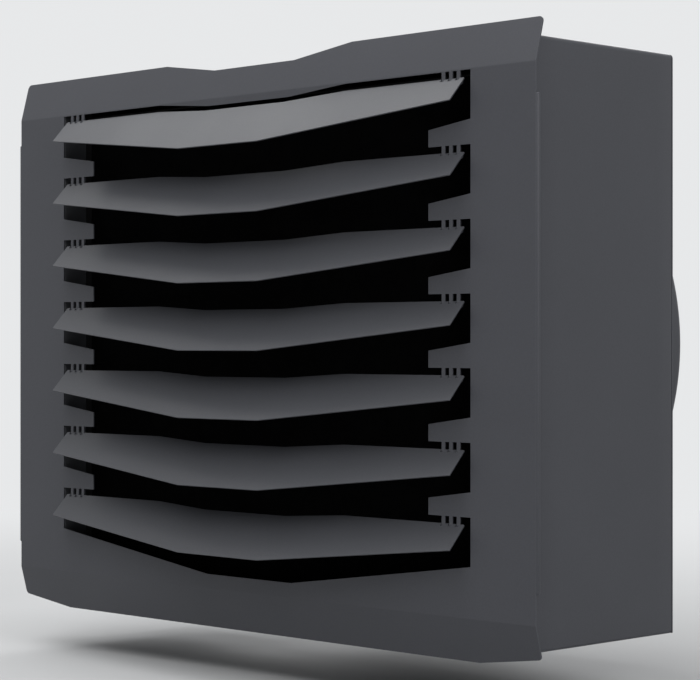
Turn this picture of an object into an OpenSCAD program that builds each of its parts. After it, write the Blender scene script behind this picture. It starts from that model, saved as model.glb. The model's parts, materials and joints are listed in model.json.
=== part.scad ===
// Ceiling mounted fan heater: a sheet steel casing with a bent front frame and seven tilting
// louvers, a water coil behind them, and an axial fan in a round cowl at the back.
// Millimetres. +Z is up, the louvers face -Y, and the origin is the centre of the four hanging
// inserts in the top of the casing. Inside the file everything is drawn from the front frame's
// plane (Y = 0) and the casing's mid height (Z = 0), and moved to the origin by in_place().

/* [Casing] */
// Width across the casing sides
case_w = 774; // [760:1:840]
// Height of the casing
case_h = 566; // [564:1:620]
// Depth from the front frame's plane to the back of the back panel
case_d = 210; // [200:1:280]
// Sheet thickness of the casing
sheet_t = 1.2; // [1:0.1:2]
// Sheet thickness of the back panel
back_t = 1.5; // [1:0.1:2.5]
// Outside radius of the folded upper edges
fold_r = 4; // [3:0.5:8]
// Width of the flanges folded in at the front and the back
flange_w = 18; // [16:1:22]
// Width of the flanges that carry the bottom panel
foot_flange_w = 34; // [28:1:40]
// Clearance of the bottom panel between the casing sides
panel_gap = 0.2; // [0.1:0.05:0.3]

/* [Front frame] */
// How far the front frame stands past each casing side
frame_lip = 3; // [1:0.5:8]
// How far the leaning bands reach past the top and the bottom of the casing
band_lip = 17; // [13:1:24]
// Height of each leaning band
band_h = 42; // [36:1:48]
// Lean of the bands, from the vertical
band_lean = 14.7; // [8:0.1:18]
// Sheet thickness of the front frame
frame_t = 1.5; // [1.2:0.1:2]
// Radius of the frame's upper corners
corner_r = 5; // [2:0.5:8]
// Width of the border beside the outlet
border_w = 80; // [76:1:100]
// Flat strip between the outlet and the upper crease
top_strip = 1; // [1:0.5:2]
// Depth of the dip in the upper band's edge
band_dip = 11.3; // [6:0.1:14]
// Depth of the dip in the outlet's upper edge
outlet_dip = 6.5; // [3:0.1:8]
// Half width of the flat middle of each dip
dip_flat = 61; // [50:1:80]
// Half width over the slopes of each dip
dip_wide = 142; // [110:1:180]
// Width of the cut across each lower corner
chamfer_w = 78; // [40:1:100]
// Height of the cut across each lower corner
chamfer_h = 10; // [4:1:16]
// Width of the hem along each side edge
hem_w = 3; // [2:0.5:4]
// Depth of the hem
hem_d = 3.7; // [2:0.1:6]
// Distance of each hem end from the crease
hem_inset = 29; // [20:1:60]

/* [Tabs and louvers] */
// Number of louvers
louver_n = 7; // [5:1:7]
// Height of the outlet's lower corners above the lower crease
sill_in = 48.7; // [40:0.1:56]
// Rise of the cut edges towards the sides, per millimetre
cut_slope = 0.137; // [0.1:0.001:0.15]
// Length of each tab, in from the border
tab_l = 54; // [50:1:60]
// Height of a tab at the border
tab_h = 23.7; // [20:0.1:26]
// Height from a louver's hinge axis to the edge above it
finger_l = 10.5; // [9:0.1:13]
// Width of one hinge finger
finger_w = 5; // [4:0.1:6]
// Pitch of the hinge fingers
finger_pitch = 9.65; // [9:0.05:11]
// Distance from the border to the middle finger
finger_in = 25; // [20:0.5:28]
// Radius of a frame knuckle
knuckle_r = 2.6; // [2.4:0.1:2.8]
// Radius of the hinge pins
pin_r = 1.5; // [1.2:0.05:1.7]
// Running clearance of a louver on its pins, on the radius
run_gap = 0.05; // [0.02:0.01:0.1]
// Clearance between a frame knuckle and the louver sheet
skin_gap = 0.3; // [0.2:0.05:0.5]
// Side clearance between knuckles
knuckle_gap = 0.2; // [0.1:0.05:0.4]
// Distance from the border to a louver's end
louver_in = 7.3; // [5:0.1:12]
// Sheet thickness of a louver
louver_t = 1.2; // [1:0.1:1.6]
// Gap between a closed louver's end and the cut edge below it
cut_gap = 6.1; // [4:0.1:10]
// How far a louver's sheet reaches past its hinge axis
louver_back = 1; // [0.5:0.1:1.5]
// Tilt of the louvers at rest, below the horizontal
louver_tilt = 47; // [20:1:70]

/* [Fan cowl] */
// Distance from the casing's top and bottom to the cowl
cowl_in = 11; // [7:1:17]
// Depth of the cowl behind the back panel
cowl_l = 173; // [165:1:200]
// Radius of the cowl's rear edge
cowl_edge_r = 10; // [6:1:16]
// Sheet thickness of the cowl
cowl_t = 1.5; // [1:0.1:2]
// Width of the flange on the back panel
cowl_flange_w = 9.5; // [9:0.5:10.5]
// Distance from the cowl's outside to the fan throat
throat_in = 42; // [36:1:44]
// Radius of the bell at the throat's mouth
bell_r = 14; // [10:1:18]
// Length of the throat's straight part
throat_l = 66; // [50:1:80]
// Width of the bell's flange
bell_flange_w = 12; // [11:0.5:14]

/* [Fan] */
// Number of fan blades
blade_n = 7; // [3:1:9]
// Gap between the blade tips and the throat
tip_gap = 6; // [4:0.5:12]
// Blade sheet thickness
blade_t = 2.5; // [2:0.1:4]
// Pitch angle of the blades
blade_pitch = 28; // [20:1:32]
// Radius of the blade's camber
camber_r = 190; // [160:5:300]
// Blade chord at the hub
root_chord = 74; // [60:1:80]
// Blade chord at the tip
tip_chord = 112; // [90:1:116]
// Sweep of the tip along the direction of travel
tip_sweep = 46; // [0:1:60]
// Outside radius of the rotor can
can_r = 66; // [64:1:70]
// Wall of the rotor can
can_t = 4; // [3:0.1:5]
// Length of the rotor can
can_l = 60; // [56:1:62]
// Wall of the impeller's hub ring
hub_t = 5; // [3:0.1:8]
// Air gap between rotor and stator
air_gap = 0.6; // [0.4:0.1:1]
// Radius of the shaft
shaft_r = 6; // [5:0.5:8]
// Outside radius of a bearing
bearing_r = 13; // [12:0.5:15]
// Width of a bearing
bearing_w = 8; // [7:0.5:9]
// Radius of the motor's flange
motor_flange_r = 56; // [54:1:58]
// Thickness of the motor's flange
motor_flange_t = 11; // [10:0.5:13]
// Radius of the circle of motor screws
motor_screw_pcr = 42; // [36:1:46]
// Gap between the rotor can and the motor's flange
motor_gap = 4; // [3:0.5:6]
// Gap between the stator and the ends of the rotor can
stator_gap = 6; // [4:0.5:8]
// Wall of the tube that carries the rear bearing
bearing_wall = 8; // [6:0.5:10]
// Distance of the hub ring from the ends of the rotor can
hub_in = 2; // [1:0.5:4]
// Distance of the blades' middle in front of the hub's middle
blade_front = 6; // [0:0.5:8]

/* [Fan guard] */
// Radius of the guard's centre plate
plate_r = 62; // [60:1:68]
// Section of a guard ring
ring_w = 2.6; // [2.4:0.1:3.2]
// Number of guard rings between plate and rim
ring_n = 16; // [8:1:17]
// Height of a guard ring above the arms
ring_rise = 1.6; // [1:0.1:2]
// Width of a guard arm
arm_w = 4; // [4:0.5:6]
// Thickness of the guard's plate, rim and arms
guard_t = 3; // [2:0.5:4]
// Number of guard arms
arm_n = 8; // [4:4:12]
// Width of the guard's rim
rim_w = 9; // [9:0.5:10]

/* [Coil] */
// Distance from the casing's side to the fin pack's end
coil_in = 87; // [85:1:96]
// Number of tubes in each row
tube_n = 16; // [10:1:16]
// Distance from the casing's top and bottom to the fin pack
coil_gap = 27; // [24:1:34]
// Distance between the two rows
row_pitch = 36; // [36:0.5:38]
// Radius of a coil tube
tube_r = 4.76; // [4:0.01:5]
// Wall of a coil tube
tube_t = 0.7; // [0.5:0.05:1]
// Gap from the front plane to the fin pack
coil_y = 32; // [30:1:36]
// Pitch of the fins on the pack's front and back faces, half as many as the real pack has
fin_pitch = 5; // [4:0.5:8]
// Thickness of one of these fins
fin_w = 1.6; // [1:0.1:2.4]
// Depth of the gaps between them
fin_gap_d = 8; // [4:0.5:10]
// Sheet thickness of the end plates
plate_t = 1.5; // [1.2:0.1:2]
// Width of the end plates' flanges
plate_flange = 14; // [12:1:15]
// Radius of a header
header_r = 16; // [15.5:0.1:17]
// Wall of a header
header_t = 1.5; // [1.2:0.1:2]
// Distance from the fin pack's end to a header's axis
header_in = 33; // [31:1:36]
// How far a header reaches past its last tube
header_over = 16; // [14:1:20]
// Radius of a pipe connection, a 3/4 inch male thread
stub_r = 13.2; // [12:0.1:14]
// Bore radius of a pipe connection
stub_bore_r = 9.5; // [8:0.1:10.5]
// How far a pipe connection stands out of the casing
stub_out = 42; // [30:1:46]
// Distance from the casing's top and bottom to the pipe connections
stub_in = 91; // [83:1:133]
// Width across flats of the hexagon on a pipe connection
stub_hex = 32; // [30:1:36]
// Radius of an air vent or drain plug
plug_r = 6.6; // [5.5:0.1:8]
// Thread radius of an air vent or drain plug
plug_thread_r = 5; // [4:0.1:5]
// Height of an air vent or drain plug
plug_h = 5; // [3:0.1:5.5]
// Length of the hexagon on a pipe connection
stub_hex_l = 9; // [7:0.5:12]
// Rubber wall of a grommet round its pipe
grommet_wall = 4; // [3:0.5:6]
// How far a grommet's lips reach past its groove
lip_w = 3; // [2:0.5:5]
// Thickness of a grommet's outer lip
lip_out = 3; // [2:0.5:5]
// Thickness of a grommet's inner lip
lip_in = 2.5; // [2:0.5:4]

/* [Hanging inserts] */
// Distance of the inserts from the casing's sides
hang_in = 42; // [38:1:44]
// Distance between the inserts from front to back
hang_y = 120; // [80:1:130]
// Distance from the front plane to the middle of the inserts
hang_mid = 110; // [100:1:115]
// Thread radius of an insert, M8
insert_r = 4; // [3:0.5:5]
// Body radius of an insert
insert_body_r = 5.5; // [5.5:0.5:6.5]
// Flange radius of an insert
insert_flange_r = 8; // [7.5:0.5:9]
// Flange thickness of an insert
insert_flange_t = 1; // [0.8:0.1:1.5]
// Length of an insert
insert_l = 17; // [14:1:18]
// Width of a hanging channel
channel_w = 40; // [36:1:44]
// Height of a hanging channel
channel_h = 20; // [18:1:22]
// Sheet thickness of a hanging channel
channel_t = 2; // [1.5:0.1:3]
// Distance from the front plane to the hanging channels
channel_front = 26; // [24:1:30]

/* [Terminal box] */
// Width of the terminal box
box_w = 120; // [100:1:120]
// Height of the terminal box
box_h = 80; // [70:1:80]
// Depth of the terminal box without its lid
box_d = 36; // [30:1:50]
// Wall of the terminal box
box_t = 2.5; // [2:0.1:4]
// Thickness of the lid
lid_t = 4; // [3:0.5:6]
// Thickness of the lid's seal
seal_t = 1.5; // [1:0.1:2]
// Distance of the box from the casing's side and bottom
box_in = 14; // [10:1:18]
// Radius of the bosses for the lid's screws
boss_r = 5; // [4:0.5:6]
// Distance of the lid's screws from the box's sides
lid_screw_in = 8; // [7:0.5:9]
// Distance of the box's own screws from its ends
box_screw_in = 24; // [20:1:30]
// Width of the terminal block
terminal_w = 44; // [30:1:56]
// Depth of the terminal block
terminal_d = 16; // [12:1:20]
// Height of the terminal block
terminal_h = 22; // [16:1:26]
// Height of the terminal block above the middle of the box
terminal_up = 4; // [0:1:8]
// Number of terminals
terminal_n = 5; // [3:1:5]
// Thread radius of the cable gland, M20
gland_r = 10; // [8:0.5:10]
// Bore radius of the cable gland
gland_bore_r = 5; // [3:0.5:6]
// Thread length of the cable gland inside the box
gland_thread_l = 7; // [6:0.5:9]
// Length of the cable gland below the box
gland_l = 18; // [14:0.5:20]
// Height of the cable gland's hexagon
gland_hex_h = 6; // [4:0.5:8]
// Corner radius of the cable gland's hexagon
gland_hex_r = 13.8; // [12:0.1:15]
// Radius of the cable gland's cap
gland_cap_r = 11.5; // [10.5:0.1:12]
// Height of the gland's lock nut
gland_nut_h = 5; // [4:0.5:5.5]

/* [Fasteners] */
// Thread radius of the casing screws
screw_r = 2; // [1.5:0.1:2.2]
// Head radius of the casing screws
head_r = 4; // [3.5:0.1:4.2]
// Head height of the casing screws
head_h = 2.4; // [2:0.1:3]
// Length of the casing screws under the head
screw_l = 9; // [8:0.5:12]
// Distance of the back panel's side and upper screws from the edges
back_screw_in = 10; // [9:0.5:12]
// Pitch of the back panel's side screws
back_screw_pitch = 200; // [160:1:210]
// Distance from the middle to the inner screws along the back panel's edges
edge_screw_near = 150; // [140:1:180]
// Distance from the middle to the outer screws along the back panel's edges
edge_screw_far = 250; // [220:1:300]
// Height of the bottom panel's upturned edge
tray_h = 14; // [13:0.5:18]
// Height of the screws in the bottom panel's upturned edge
tray_screw_z = 9; // [8:0.5:9.5]
// Distance of the bottom panel's screws from the casing's sides
foot_screw_in = 22; // [20:1:26]
// Pitch of the bottom panel's screws
foot_screw_pitch = 70; // [50:1:80]
// Number of screws round the cowl's flange
cowl_screw_n = 8; // [4:4:12]
// Distance of the cowl's screws outside the cowl
cowl_screw_in = 5.5; // [5:0.1:6]
// Thread radius of the cowl's screws
cowl_screw_thread = 1.5; // [1.2:0.1:1.7]
// Head radius of the cowl's screws
cowl_screw_head = 2.9; // [2.5:0.1:3]
// Number of screws round the fan guard
guard_screw_n = 8; // [4:4:8]
// Distance of the studs from the casing's side
stud_in = 9; // [8:0.5:10]
// Pitch of the studs
stud_pitch = 160; // [120:1:165]
// Thread radius of the studs behind the front frame
stud_r = 2.5; // [2:0.1:3]
// Length of the studs
stud_l = 11; // [10:0.5:14]
// Width across flats of the stud nuts
nut_af = 8; // [7:0.5:8.5]
// Height of the stud nuts
nut_h = 4; // [3:0.5:5]
// Clearance of a hole round its screw, on the radius
hole_gap = 0.15; // [0.1:0.05:0.3]

/* [Hidden] */
$fn = 64;

case_colour = "#4b4c51";
louver_colour = "#5b5c61";
coil_colour = "#151618";
guard_colour = "#1c1d20";
zinc_colour = "#b4b8bb";
brass_colour = "#b08d48";
copper_colour = "#a0583a";
rubber_colour = "#161616";
motor_colour = "#3a3b3e";
rotor_colour = "#232427";
blade_colour = "#1d1e21";
terminal_colour = "#d8d8d2";
box_colour = "#2a2b2e";

eps = 0.01;
big = 2000;
// how far the parts of one solid run into each other
lap = 1;
// length of a hole drilled across a sheet
drill_l = 12;
// share of a screw head that its cross recess takes, and the recess's half width
recess_share = 0.6;
recess_half = 0.5;

// casing and frame
frame_w = case_w + 2 * frame_lip;
frame_top = case_h / 2 + band_lip;
crease_z = frame_top - band_h;
shell_back = case_d - back_t;
inner_w = case_w - 2 * sheet_t;
inner_h = case_h - 2 * sheet_t;
outlet_half = frame_w / 2 - border_w;
outlet_top = crease_z - top_strip;
outlet_sill = sill_in - crease_z;
pitch = (outlet_top - outlet_sill + tab_h) / louver_n;
outlet_mid = dip_flat + hem_w;
sill_drop = cut_slope * (outlet_half - outlet_mid);
stud_x = case_w / 2 - stud_in;
stud_zs = [for (k = [0:3]) (k - 1.5) * stud_pitch];
band_gap = 0.2;
foot_screw_x = case_w / 2 - foot_screw_in;
foot_screw_ys = [for (k = [-1:1]) case_d / 2 + k * foot_screw_pitch];
back_screw_x = case_w / 2 - back_screw_in;
back_screw_top = case_h / 2 - back_screw_in;
back_screw_low = tray_screw_z - case_h / 2;
back_screw_zs = [for (k = [-1:1]) k * back_screw_pitch];
edge_screw_xs = [for (s = [-1, 1], x = [edge_screw_near, edge_screw_far]) s * x];

// hinges: axis behind the frame's sheet, sheet of the louver tangent to the knuckles
hinge_y = frame_t + 0.5;
web_low = 0.6 - knuckle_r;
web_high = knuckle_r - 1.8;
skin_r = knuckle_r + skin_gap;
louver_half = outlet_half - louver_in;
louver_chord = pitch - tab_h - finger_l - cut_gap + louver_back;
louver_mid_chord = louver_chord + cut_slope * (louver_half - dip_flat);
finger_x = outlet_half - finger_in;
finger_hole_w = finger_w + 2 * skin_gap;
notch_z = hinge_y + skin_gap;
pin_l = 2 * finger_pitch + finger_w;

// cowl and fan
cowl_r = case_h / 2 - cowl_in;
throat_r = cowl_r - throat_in;
blade_r = throat_r - tip_gap;
cowl_hole_r = cowl_r - 2;
cowl_back = case_d + cowl_l;
bell_y = cowl_back - cowl_t;
inlet_r = throat_r + bell_r;
rim_in_r = inlet_r + 1;
guard_back = cowl_back + guard_t;
guard_screw_r = inlet_r + bell_flange_w / 2;
guard_screw_as = [for (k = [0:guard_screw_n - 1]) k * 360 / guard_screw_n];
cowl_screw_r = cowl_r + cowl_screw_in;
cowl_screw_as = [for (k = [0:cowl_screw_n - 1]) (k + 0.5) * 360 / cowl_screw_n];
motor_screw_as = [45, 135, 225, 315];
can_back = cowl_back - motor_flange_t - motor_gap;
can_front = can_back - can_l;
stator_r = can_r - can_t - air_gap;
stator_front = can_front + can_t + stator_gap;
stator_back = can_back - motor_gap / 2;
hub_r = can_r + hub_t;
// how far the raw blades are drawn past what the fan's envelope cuts off
blade_over = 20;
blade_reach = 40;

// coil
coil_half = case_w / 2 - coil_in;
coil_h = case_h - 2 * coil_gap;
tube_pitch = coil_h / tube_n;
tube_zs = [for (k = [0:tube_n - 1]) (k - (tube_n - 1) / 2) * tube_pitch];
stub_z = case_h / 2 - stub_in;
stub_zs = [-stub_z, stub_z];
grommet_r = stub_r + grommet_wall;
coil_d = 2 * row_pitch;
row_y = [coil_y + row_pitch / 2, coil_y + row_pitch * 1.5];
fin_n = floor(2 * coil_half / fin_pitch);
fin_step = 2 * coil_half / fin_n;
header_x = -(coil_half + header_in);
header_top = (tube_n - 1) * tube_pitch / 2 + header_over;
coil_back = coil_y + coil_d;

// hanging inserts
insert_z = case_h / 2 + insert_flange_t;
hang_x = case_w - 2 * hang_in;
hang_ys = [hang_mid - hang_y / 2, hang_mid + hang_y / 2];

// terminal box, on the back panel below the cowl's left side
box_x = -(case_w / 2 - box_in - box_w / 2);
box_z = -(case_h / 2 - box_in - box_h / 2);
box_y = case_d;
lid_y = box_y + box_d + seal_t;
lid_screw_x = box_w / 2 - lid_screw_in;
lid_screw_z = box_h / 2 - lid_screw_in;
// how deep the lid's screws run into the bosses
lid_screw_bite = 8;
box_screws = [for (s = [-1, 1]) [box_x + s * (box_w / 2 - box_screw_in), box_z]];

// ---- helpers ----

// Moves everything from the front plane and mid height to the origin at the inserts.
module in_place() {
    translate([0, -hang_mid, -insert_z]) children();
}

// An X-Z outline made into a plate from y0 to y0 + t.
module plate(y0, t) {
    translate([0, y0 + t, 0]) rotate([90, 0, 0]) linear_extrude(t) children();
}

// A Y-Z outline made into a bar from x0 to x0 + l.
module bar(x0, l) {
    translate([x0, 0, 0]) rotate([90, 0, 90]) linear_extrude(l) children();
}

// A box between two corners.
module block(a, b) {
    translate(a) cube(b - a);
}

// A cylinder along X, Y or Z, from its lowest end.
module rod_x(x0, y, z, r, l) {
    translate([x0, y, z]) rotate([0, 90, 0]) cylinder(r = r, h = l);
}
module rod_y(x, y0, z, r, l) {
    translate([x, y0, z]) rotate([-90, 0, 0]) cylinder(r = r, h = l);
}
module rod_z(x, y, z0, r, l) {
    translate([x, y, z0]) cylinder(r = r, h = l);
}

// A hole along Y across the sheet at y.
module drill_y(x, y, z, r) {
    rod_y(x, y - drill_l / 2, z, r, drill_l);
}

// A profile of radius and depth turned about the fan's axis.
module turned() {
    rotate([-90, 0, 0]) rotate_extrude($fn = 128) children();
}

// A ring about the fan's axis.
module ring(r_in, r_out, y0, y1) {
    turned() translate([r_in, y0]) square([r_out - r_in, y1 - y0]);
}

// Copies to the left and the right side.
module both_sides() {
    children();
    mirror([1, 0, 0]) children();
}

// Points of an arc, for outlines.
function arc(cx, cz, r, a0, a1, n = 8) =
    [for (i = [0:n]) let (a = a0 + (a1 - a0) * i / n) [cx + r * cos(a), cz + r * sin(a)]];

// The dipped upper edge shared by band, outlet and louvers, from right to left.
function dipped(z, dip) =
    [[dip_wide, z], [dip_flat, z - dip], [-dip_flat, z - dip], [-dip_wide, z]];

// Height of louver i's hinge axis.
function axis_z(i) = outlet_top - finger_l - i * pitch;

// Depth of a band's back face at height z above the middle.
function band_back(z) = frame_t / cos(band_lean) + (z - crease_z) * tan(band_lean);

// A cross-recess screw along Y with its head's underside at y, its shank towards the front.
module screw_y(x, y, z, r = screw_r, l = screw_l, hr = head_r, hh = head_h) {
    rod_y(x, y - l, z, r, l);
    arm = hr * recess_share;
    difference() {
        rod_y(x, y, z, hr, hh);
        block([x - arm, y + hh / 2, z - recess_half], [x + arm, y + hh + eps, z + recess_half]);
        block([x - recess_half, y + hh / 2, z - arm], [x + recess_half, y + hh + eps, z + arm]);
    }
}

// A hexagon prism along Y.
module hex_y(x, y0, z, af, h) {
    translate([x, y0, z]) rotate([-90, 0, 0]) cylinder(r = af / 2 / cos(30), h = h, $fn = 6);
}

// ---- front frame ----

module outlet_outline() {
    polygon(concat([[outlet_half, outlet_sill], [outlet_half, outlet_top]],
        dipped(outlet_top, outlet_dip),
        [[-outlet_half, outlet_top], [-outlet_half, outlet_sill],
         [-outlet_mid, outlet_sill - sill_drop], [outlet_mid, outlet_sill - sill_drop]]));
}

module tab_outline(k) {
    z = outlet_top - (k + 1) * pitch;
    tip = tab_h - cut_slope * tab_l;
    polygon([[outlet_half + lap, z], [outlet_half + lap, z + tab_h], [outlet_half, z + tab_h],
        [outlet_half - tab_l, z + tip], [outlet_half - tab_l, z]]);
}

module finger_outline(i) {
    for (j = [-1:1])
        translate([finger_x + j * finger_pitch - finger_w / 2, axis_z(i)])
            square([finger_w, finger_l + lap]);
}

// The frame's outline seen from the front: rounded above, cut across the corners below.
module frame_outline() {
    w = frame_w / 2;
    low_r = corner_r - 1;
    cut_angle = atan(chamfer_h / chamfer_w);
    polygon(concat(
        arc(w - corner_r, frame_top - corner_r, corner_r, 0, 90),
        dipped(frame_top, band_dip),
        arc(-w + corner_r, frame_top - corner_r, corner_r, 90, 180),
        arc(-w + low_r, -frame_top + chamfer_h + low_r, low_r, 180, 270 - cut_angle),
        [[-w + chamfer_w, -frame_top], [w - chamfer_w, -frame_top]],
        arc(w - low_r, -frame_top + chamfer_h + low_r, low_r, cut_angle - 90, 0)));
}

// Section of the bent sheet: a flat middle between two bands that lean back.
module bent_section() {
    y = band_h * tan(band_lean);
    back_z = crease_z - frame_t * tan(band_lean / 2);
    dy = frame_t * cos(band_lean);
    dz = frame_t * sin(band_lean);
    polygon([[y, -frame_top], [0, -crease_z], [0, crease_z], [y, frame_top],
        [y + dy, frame_top - dz], [frame_t, back_z], [frame_t, -back_z],
        [y + dy, -frame_top + dz]]);
}

module front_frame() {
    color(case_colour) in_place() difference() {
        union() {
            intersection() {
                bar(-frame_w, 2 * frame_w) bent_section();
                plate(-lap, case_d) {
                    difference() {
                        frame_outline();
                        outlet_outline();
                    }
                    for (s = [0, 1]) mirror([s, 0]) {
                        for (k = [0:louver_n - 2]) tab_outline(k);
                        for (i = [0:louver_n - 1]) finger_outline(i);
                    }
                }
            }
            both_sides() block([frame_w / 2 - frame_t, 0, -crease_z + hem_inset],
                [frame_w / 2 + hem_w, hem_d, crease_z - hem_inset]);
            both_sides() for (z = stud_zs) rod_y(stud_x, frame_t - lap, z, stud_r, stud_l + lap);
            both_sides() for (i = [0:louver_n - 1], j = [-1:1])
                rod_x(finger_x + j * finger_pitch - finger_w / 2, hinge_y, axis_z(i),
                    knuckle_r, finger_w);
        }
        both_sides() for (i = [0:louver_n - 1])
            rod_x(finger_x - pin_l / 2 - lap, hinge_y, axis_z(i), pin_r, pin_l + 2 * lap);
    }
}

// ---- louvers ----

module louver_outline() {
    polygon(concat([[louver_half, louver_back - louver_chord], [louver_half, louver_back]],
        dipped(louver_back, outlet_dip),
        [[-louver_half, louver_back], [-louver_half, louver_back - louver_chord],
         [-dip_flat, louver_back - louver_mid_chord], [dip_flat, louver_back - louver_mid_chord]]));
}

// One louver, drawn closed, then turned up to its tilt about the hinge axis.
module louver(i) {
    color(louver_colour) in_place()
        translate([0, hinge_y, axis_z(i)]) rotate([louver_tilt - 90, 0, 0]) difference() {
            union() {
                plate(-skin_r - louver_t, louver_t) louver_outline();
                both_sides() for (j = [-0.5, 0.5]) {
                    w = finger_pitch - finger_w - 2 * knuckle_gap;
                    x = finger_x + j * finger_pitch - w / 2;
                    rod_x(x, 0, 0, knuckle_r, w);
                    block([x, -skin_r - louver_t / 2, web_low], [x + w, -pin_r, web_high]);
                }
            }
            both_sides() {
                rod_x(finger_x - pin_l / 2 - lap, 0, 0, pin_r + run_gap, pin_l + 2 * lap);
                for (j = [-1:1])
                    block([finger_x + j * finger_pitch - finger_hole_w / 2, -big, -notch_z],
                        [finger_x + j * finger_pitch + finger_hole_w / 2, -skin_r + eps, big]);
            }
        }
}

module louver_hinge_pins() {
    color(zinc_colour) in_place() both_sides() for (i = [0:louver_n - 1])
        rod_x(finger_x - pin_l / 2, hinge_y, axis_z(i), pin_r, pin_l);
}

module louver_1() { louver(0); }
module louver_2() { louver(1); }
module louver_3() { louver(2); }
module louver_4() { louver(3); }
module louver_5() { louver(4); }
module louver_6() { louver(5); }
module louver_7() { louver(6); }

// ---- casing ----

// Outline with rounded upper corners and square lower ones.
module hood_outline(w, h, r, low) {
    translate([-w / 2, low]) square([w, h / 2 - r - low]);
    translate([-w / 2 + r, low]) square([w - 2 * r, h / 2 - low]);
    for (s = [-1, 1]) translate([s * (w / 2 - r), h / 2 - r]) circle(r = r);
}

// The space in front of the two leaning bands.
module band_space() {
    top_z = frame_top + lap;
    for (s = [0, 1]) mirror([0, 0, s]) bar(-big / 2, big)
        polygon([[-lap, crease_z], [band_back(crease_z) + band_gap, crease_z],
            [band_back(top_z) + band_gap, top_z], [-lap, top_z]]);
}

module casing_shell() {
    color(case_colour) in_place() difference() {
        plate(frame_t, shell_back - frame_t)
            hood_outline(case_w, case_h, fold_r, -case_h / 2);
        // inside, open below
        plate(frame_t + sheet_t, shell_back - frame_t - 2 * sheet_t)
            hood_outline(inner_w, inner_h, fold_r - sheet_t, -case_h / 2 + 2 * sheet_t);
        block([-case_w / 2 + foot_flange_w, -lap, -case_h], [case_w / 2 - foot_flange_w, big, 0]);
        block([-inner_w / 2, -lap, -case_h], [inner_w / 2, big, -case_h / 2 + sheet_t]);
        // front and back openings inside the flanges
        plate(-lap, big) translate([-case_w / 2 + flange_w, -case_h / 2 + 2 * sheet_t])
            square([case_w - 2 * flange_w, case_h - 2 * sheet_t - flange_w]);
        band_space();
        both_sides() {
            for (z = stud_zs) drill_y(stud_x, frame_t, z, stud_r + hole_gap);
            for (z = back_screw_zs) drill_y(back_screw_x, shell_back, z, screw_r);
            for (y = hang_ys) rod_z(hang_x / 2, y, 0, insert_body_r, big);
            for (y = foot_screw_ys)
                rod_z(foot_screw_x, y, -case_h / 2 - lap, screw_r, 2 * sheet_t + 2 * lap);
        }
        for (x = edge_screw_xs) drill_y(x, shell_back, back_screw_top, screw_r);
        for (k = [0, 1])
            rod_x(-case_w / 2 - drill_l / 2, row_y[k], stub_zs[k], grommet_r, drill_l);
    }
}

module bottom_panel() {
    w = inner_w / 2 - panel_gap;
    low = -case_h / 2;
    color(case_colour) in_place() difference() {
        union() {
            block([-w, 0, low], [w, shell_back, low + sheet_t]);
            block([-case_w / 2 + foot_flange_w + lap, shell_back - sheet_t, low],
                [case_w / 2 - foot_flange_w - lap, shell_back, low + tray_h]);
        }
        band_space();
        both_sides() for (y = foot_screw_ys)
            rod_z(foot_screw_x, y, low - lap, screw_r + hole_gap, sheet_t + 2 * lap);
        for (x = edge_screw_xs) drill_y(x, shell_back, back_screw_low, screw_r);
    }
}

module back_panel() {
    color(case_colour) in_place() difference() {
        plate(shell_back, back_t) hood_outline(case_w, case_h, fold_r, -case_h / 2);
        rod_y(0, 0, 0, cowl_hole_r, big);
        both_sides() for (z = back_screw_zs)
            drill_y(back_screw_x, case_d, z, screw_r + hole_gap);
        for (x = edge_screw_xs, z = [back_screw_top, back_screw_low])
            drill_y(x, case_d, z, screw_r + hole_gap);
        for (a = cowl_screw_as)
            drill_y(cowl_screw_r * cos(a), case_d, cowl_screw_r * sin(a), cowl_screw_thread);
        for (p = box_screws) drill_y(p[0], case_d, p[1], screw_r);
    }
}

module frame_nuts() {
    color(zinc_colour) in_place() both_sides() for (z = stud_zs) difference() {
        hex_y(stud_x, frame_t + sheet_t, z, nut_af, nut_h);
        drill_y(stud_x, frame_t + sheet_t, z, stud_r);
    }
}

// ---- outlet liners: the dark side walls between the frame and the coil ----

module outlet_liner() {
    h = inner_h / 2;
    color(coil_colour) in_place() difference() {
        union() {
            block([outlet_half, frame_t, -h], [outlet_half + plate_t, coil_y, h]);
            block([outlet_half, frame_t, -crease_z],
                [outlet_half + plate_flange, frame_t + plate_t, crease_z]);
        }
        band_space();
    }
}
module outlet_liner_right() { outlet_liner(); }
module outlet_liner_left() { mirror([1, 0, 0]) outlet_liner(); }

// ---- coil ----

module tube_holes(x0, l, r) {
    for (y = row_y, z = tube_zs) rod_x(x0, y, z, r, l);
}

// The pack's front edge seen from above, from left to right: a fin, then a gap.
function fin_edge() = concat([[-coil_half, coil_y]],
    [for (k = [0:fin_n - 1])
        let (a = -coil_half + k * fin_step + fin_w / 2, b = a + fin_step - fin_w)
        each [[a, coil_y], [a, coil_y + fin_gap_d], [b, coil_y + fin_gap_d], [b, coil_y]]],
    [[coil_half, coil_y]]);

// The fin pack: its back edge is its front edge turned half round.
module coil_fin_pack() {
    back_edge = [for (p = fin_edge()) [-p[0], coil_y + coil_back - p[1]]];
    color(coil_colour) in_place() difference() {
        translate([0, 0, -coil_h / 2]) linear_extrude(coil_h)
            polygon(concat(fin_edge(), back_edge));
        tube_holes(-coil_half - lap, 2 * (coil_half + lap), tube_r);
    }
}

module coil_tubes() {
    x0 = header_x + header_r - header_t;
    color(copper_colour) in_place() difference() {
        tube_holes(x0, coil_half + plate_t - x0, tube_r);
        tube_holes(x0 - lap, coil_half + plate_t - x0 + 2 * lap, tube_r - tube_t);
    }
}

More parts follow.
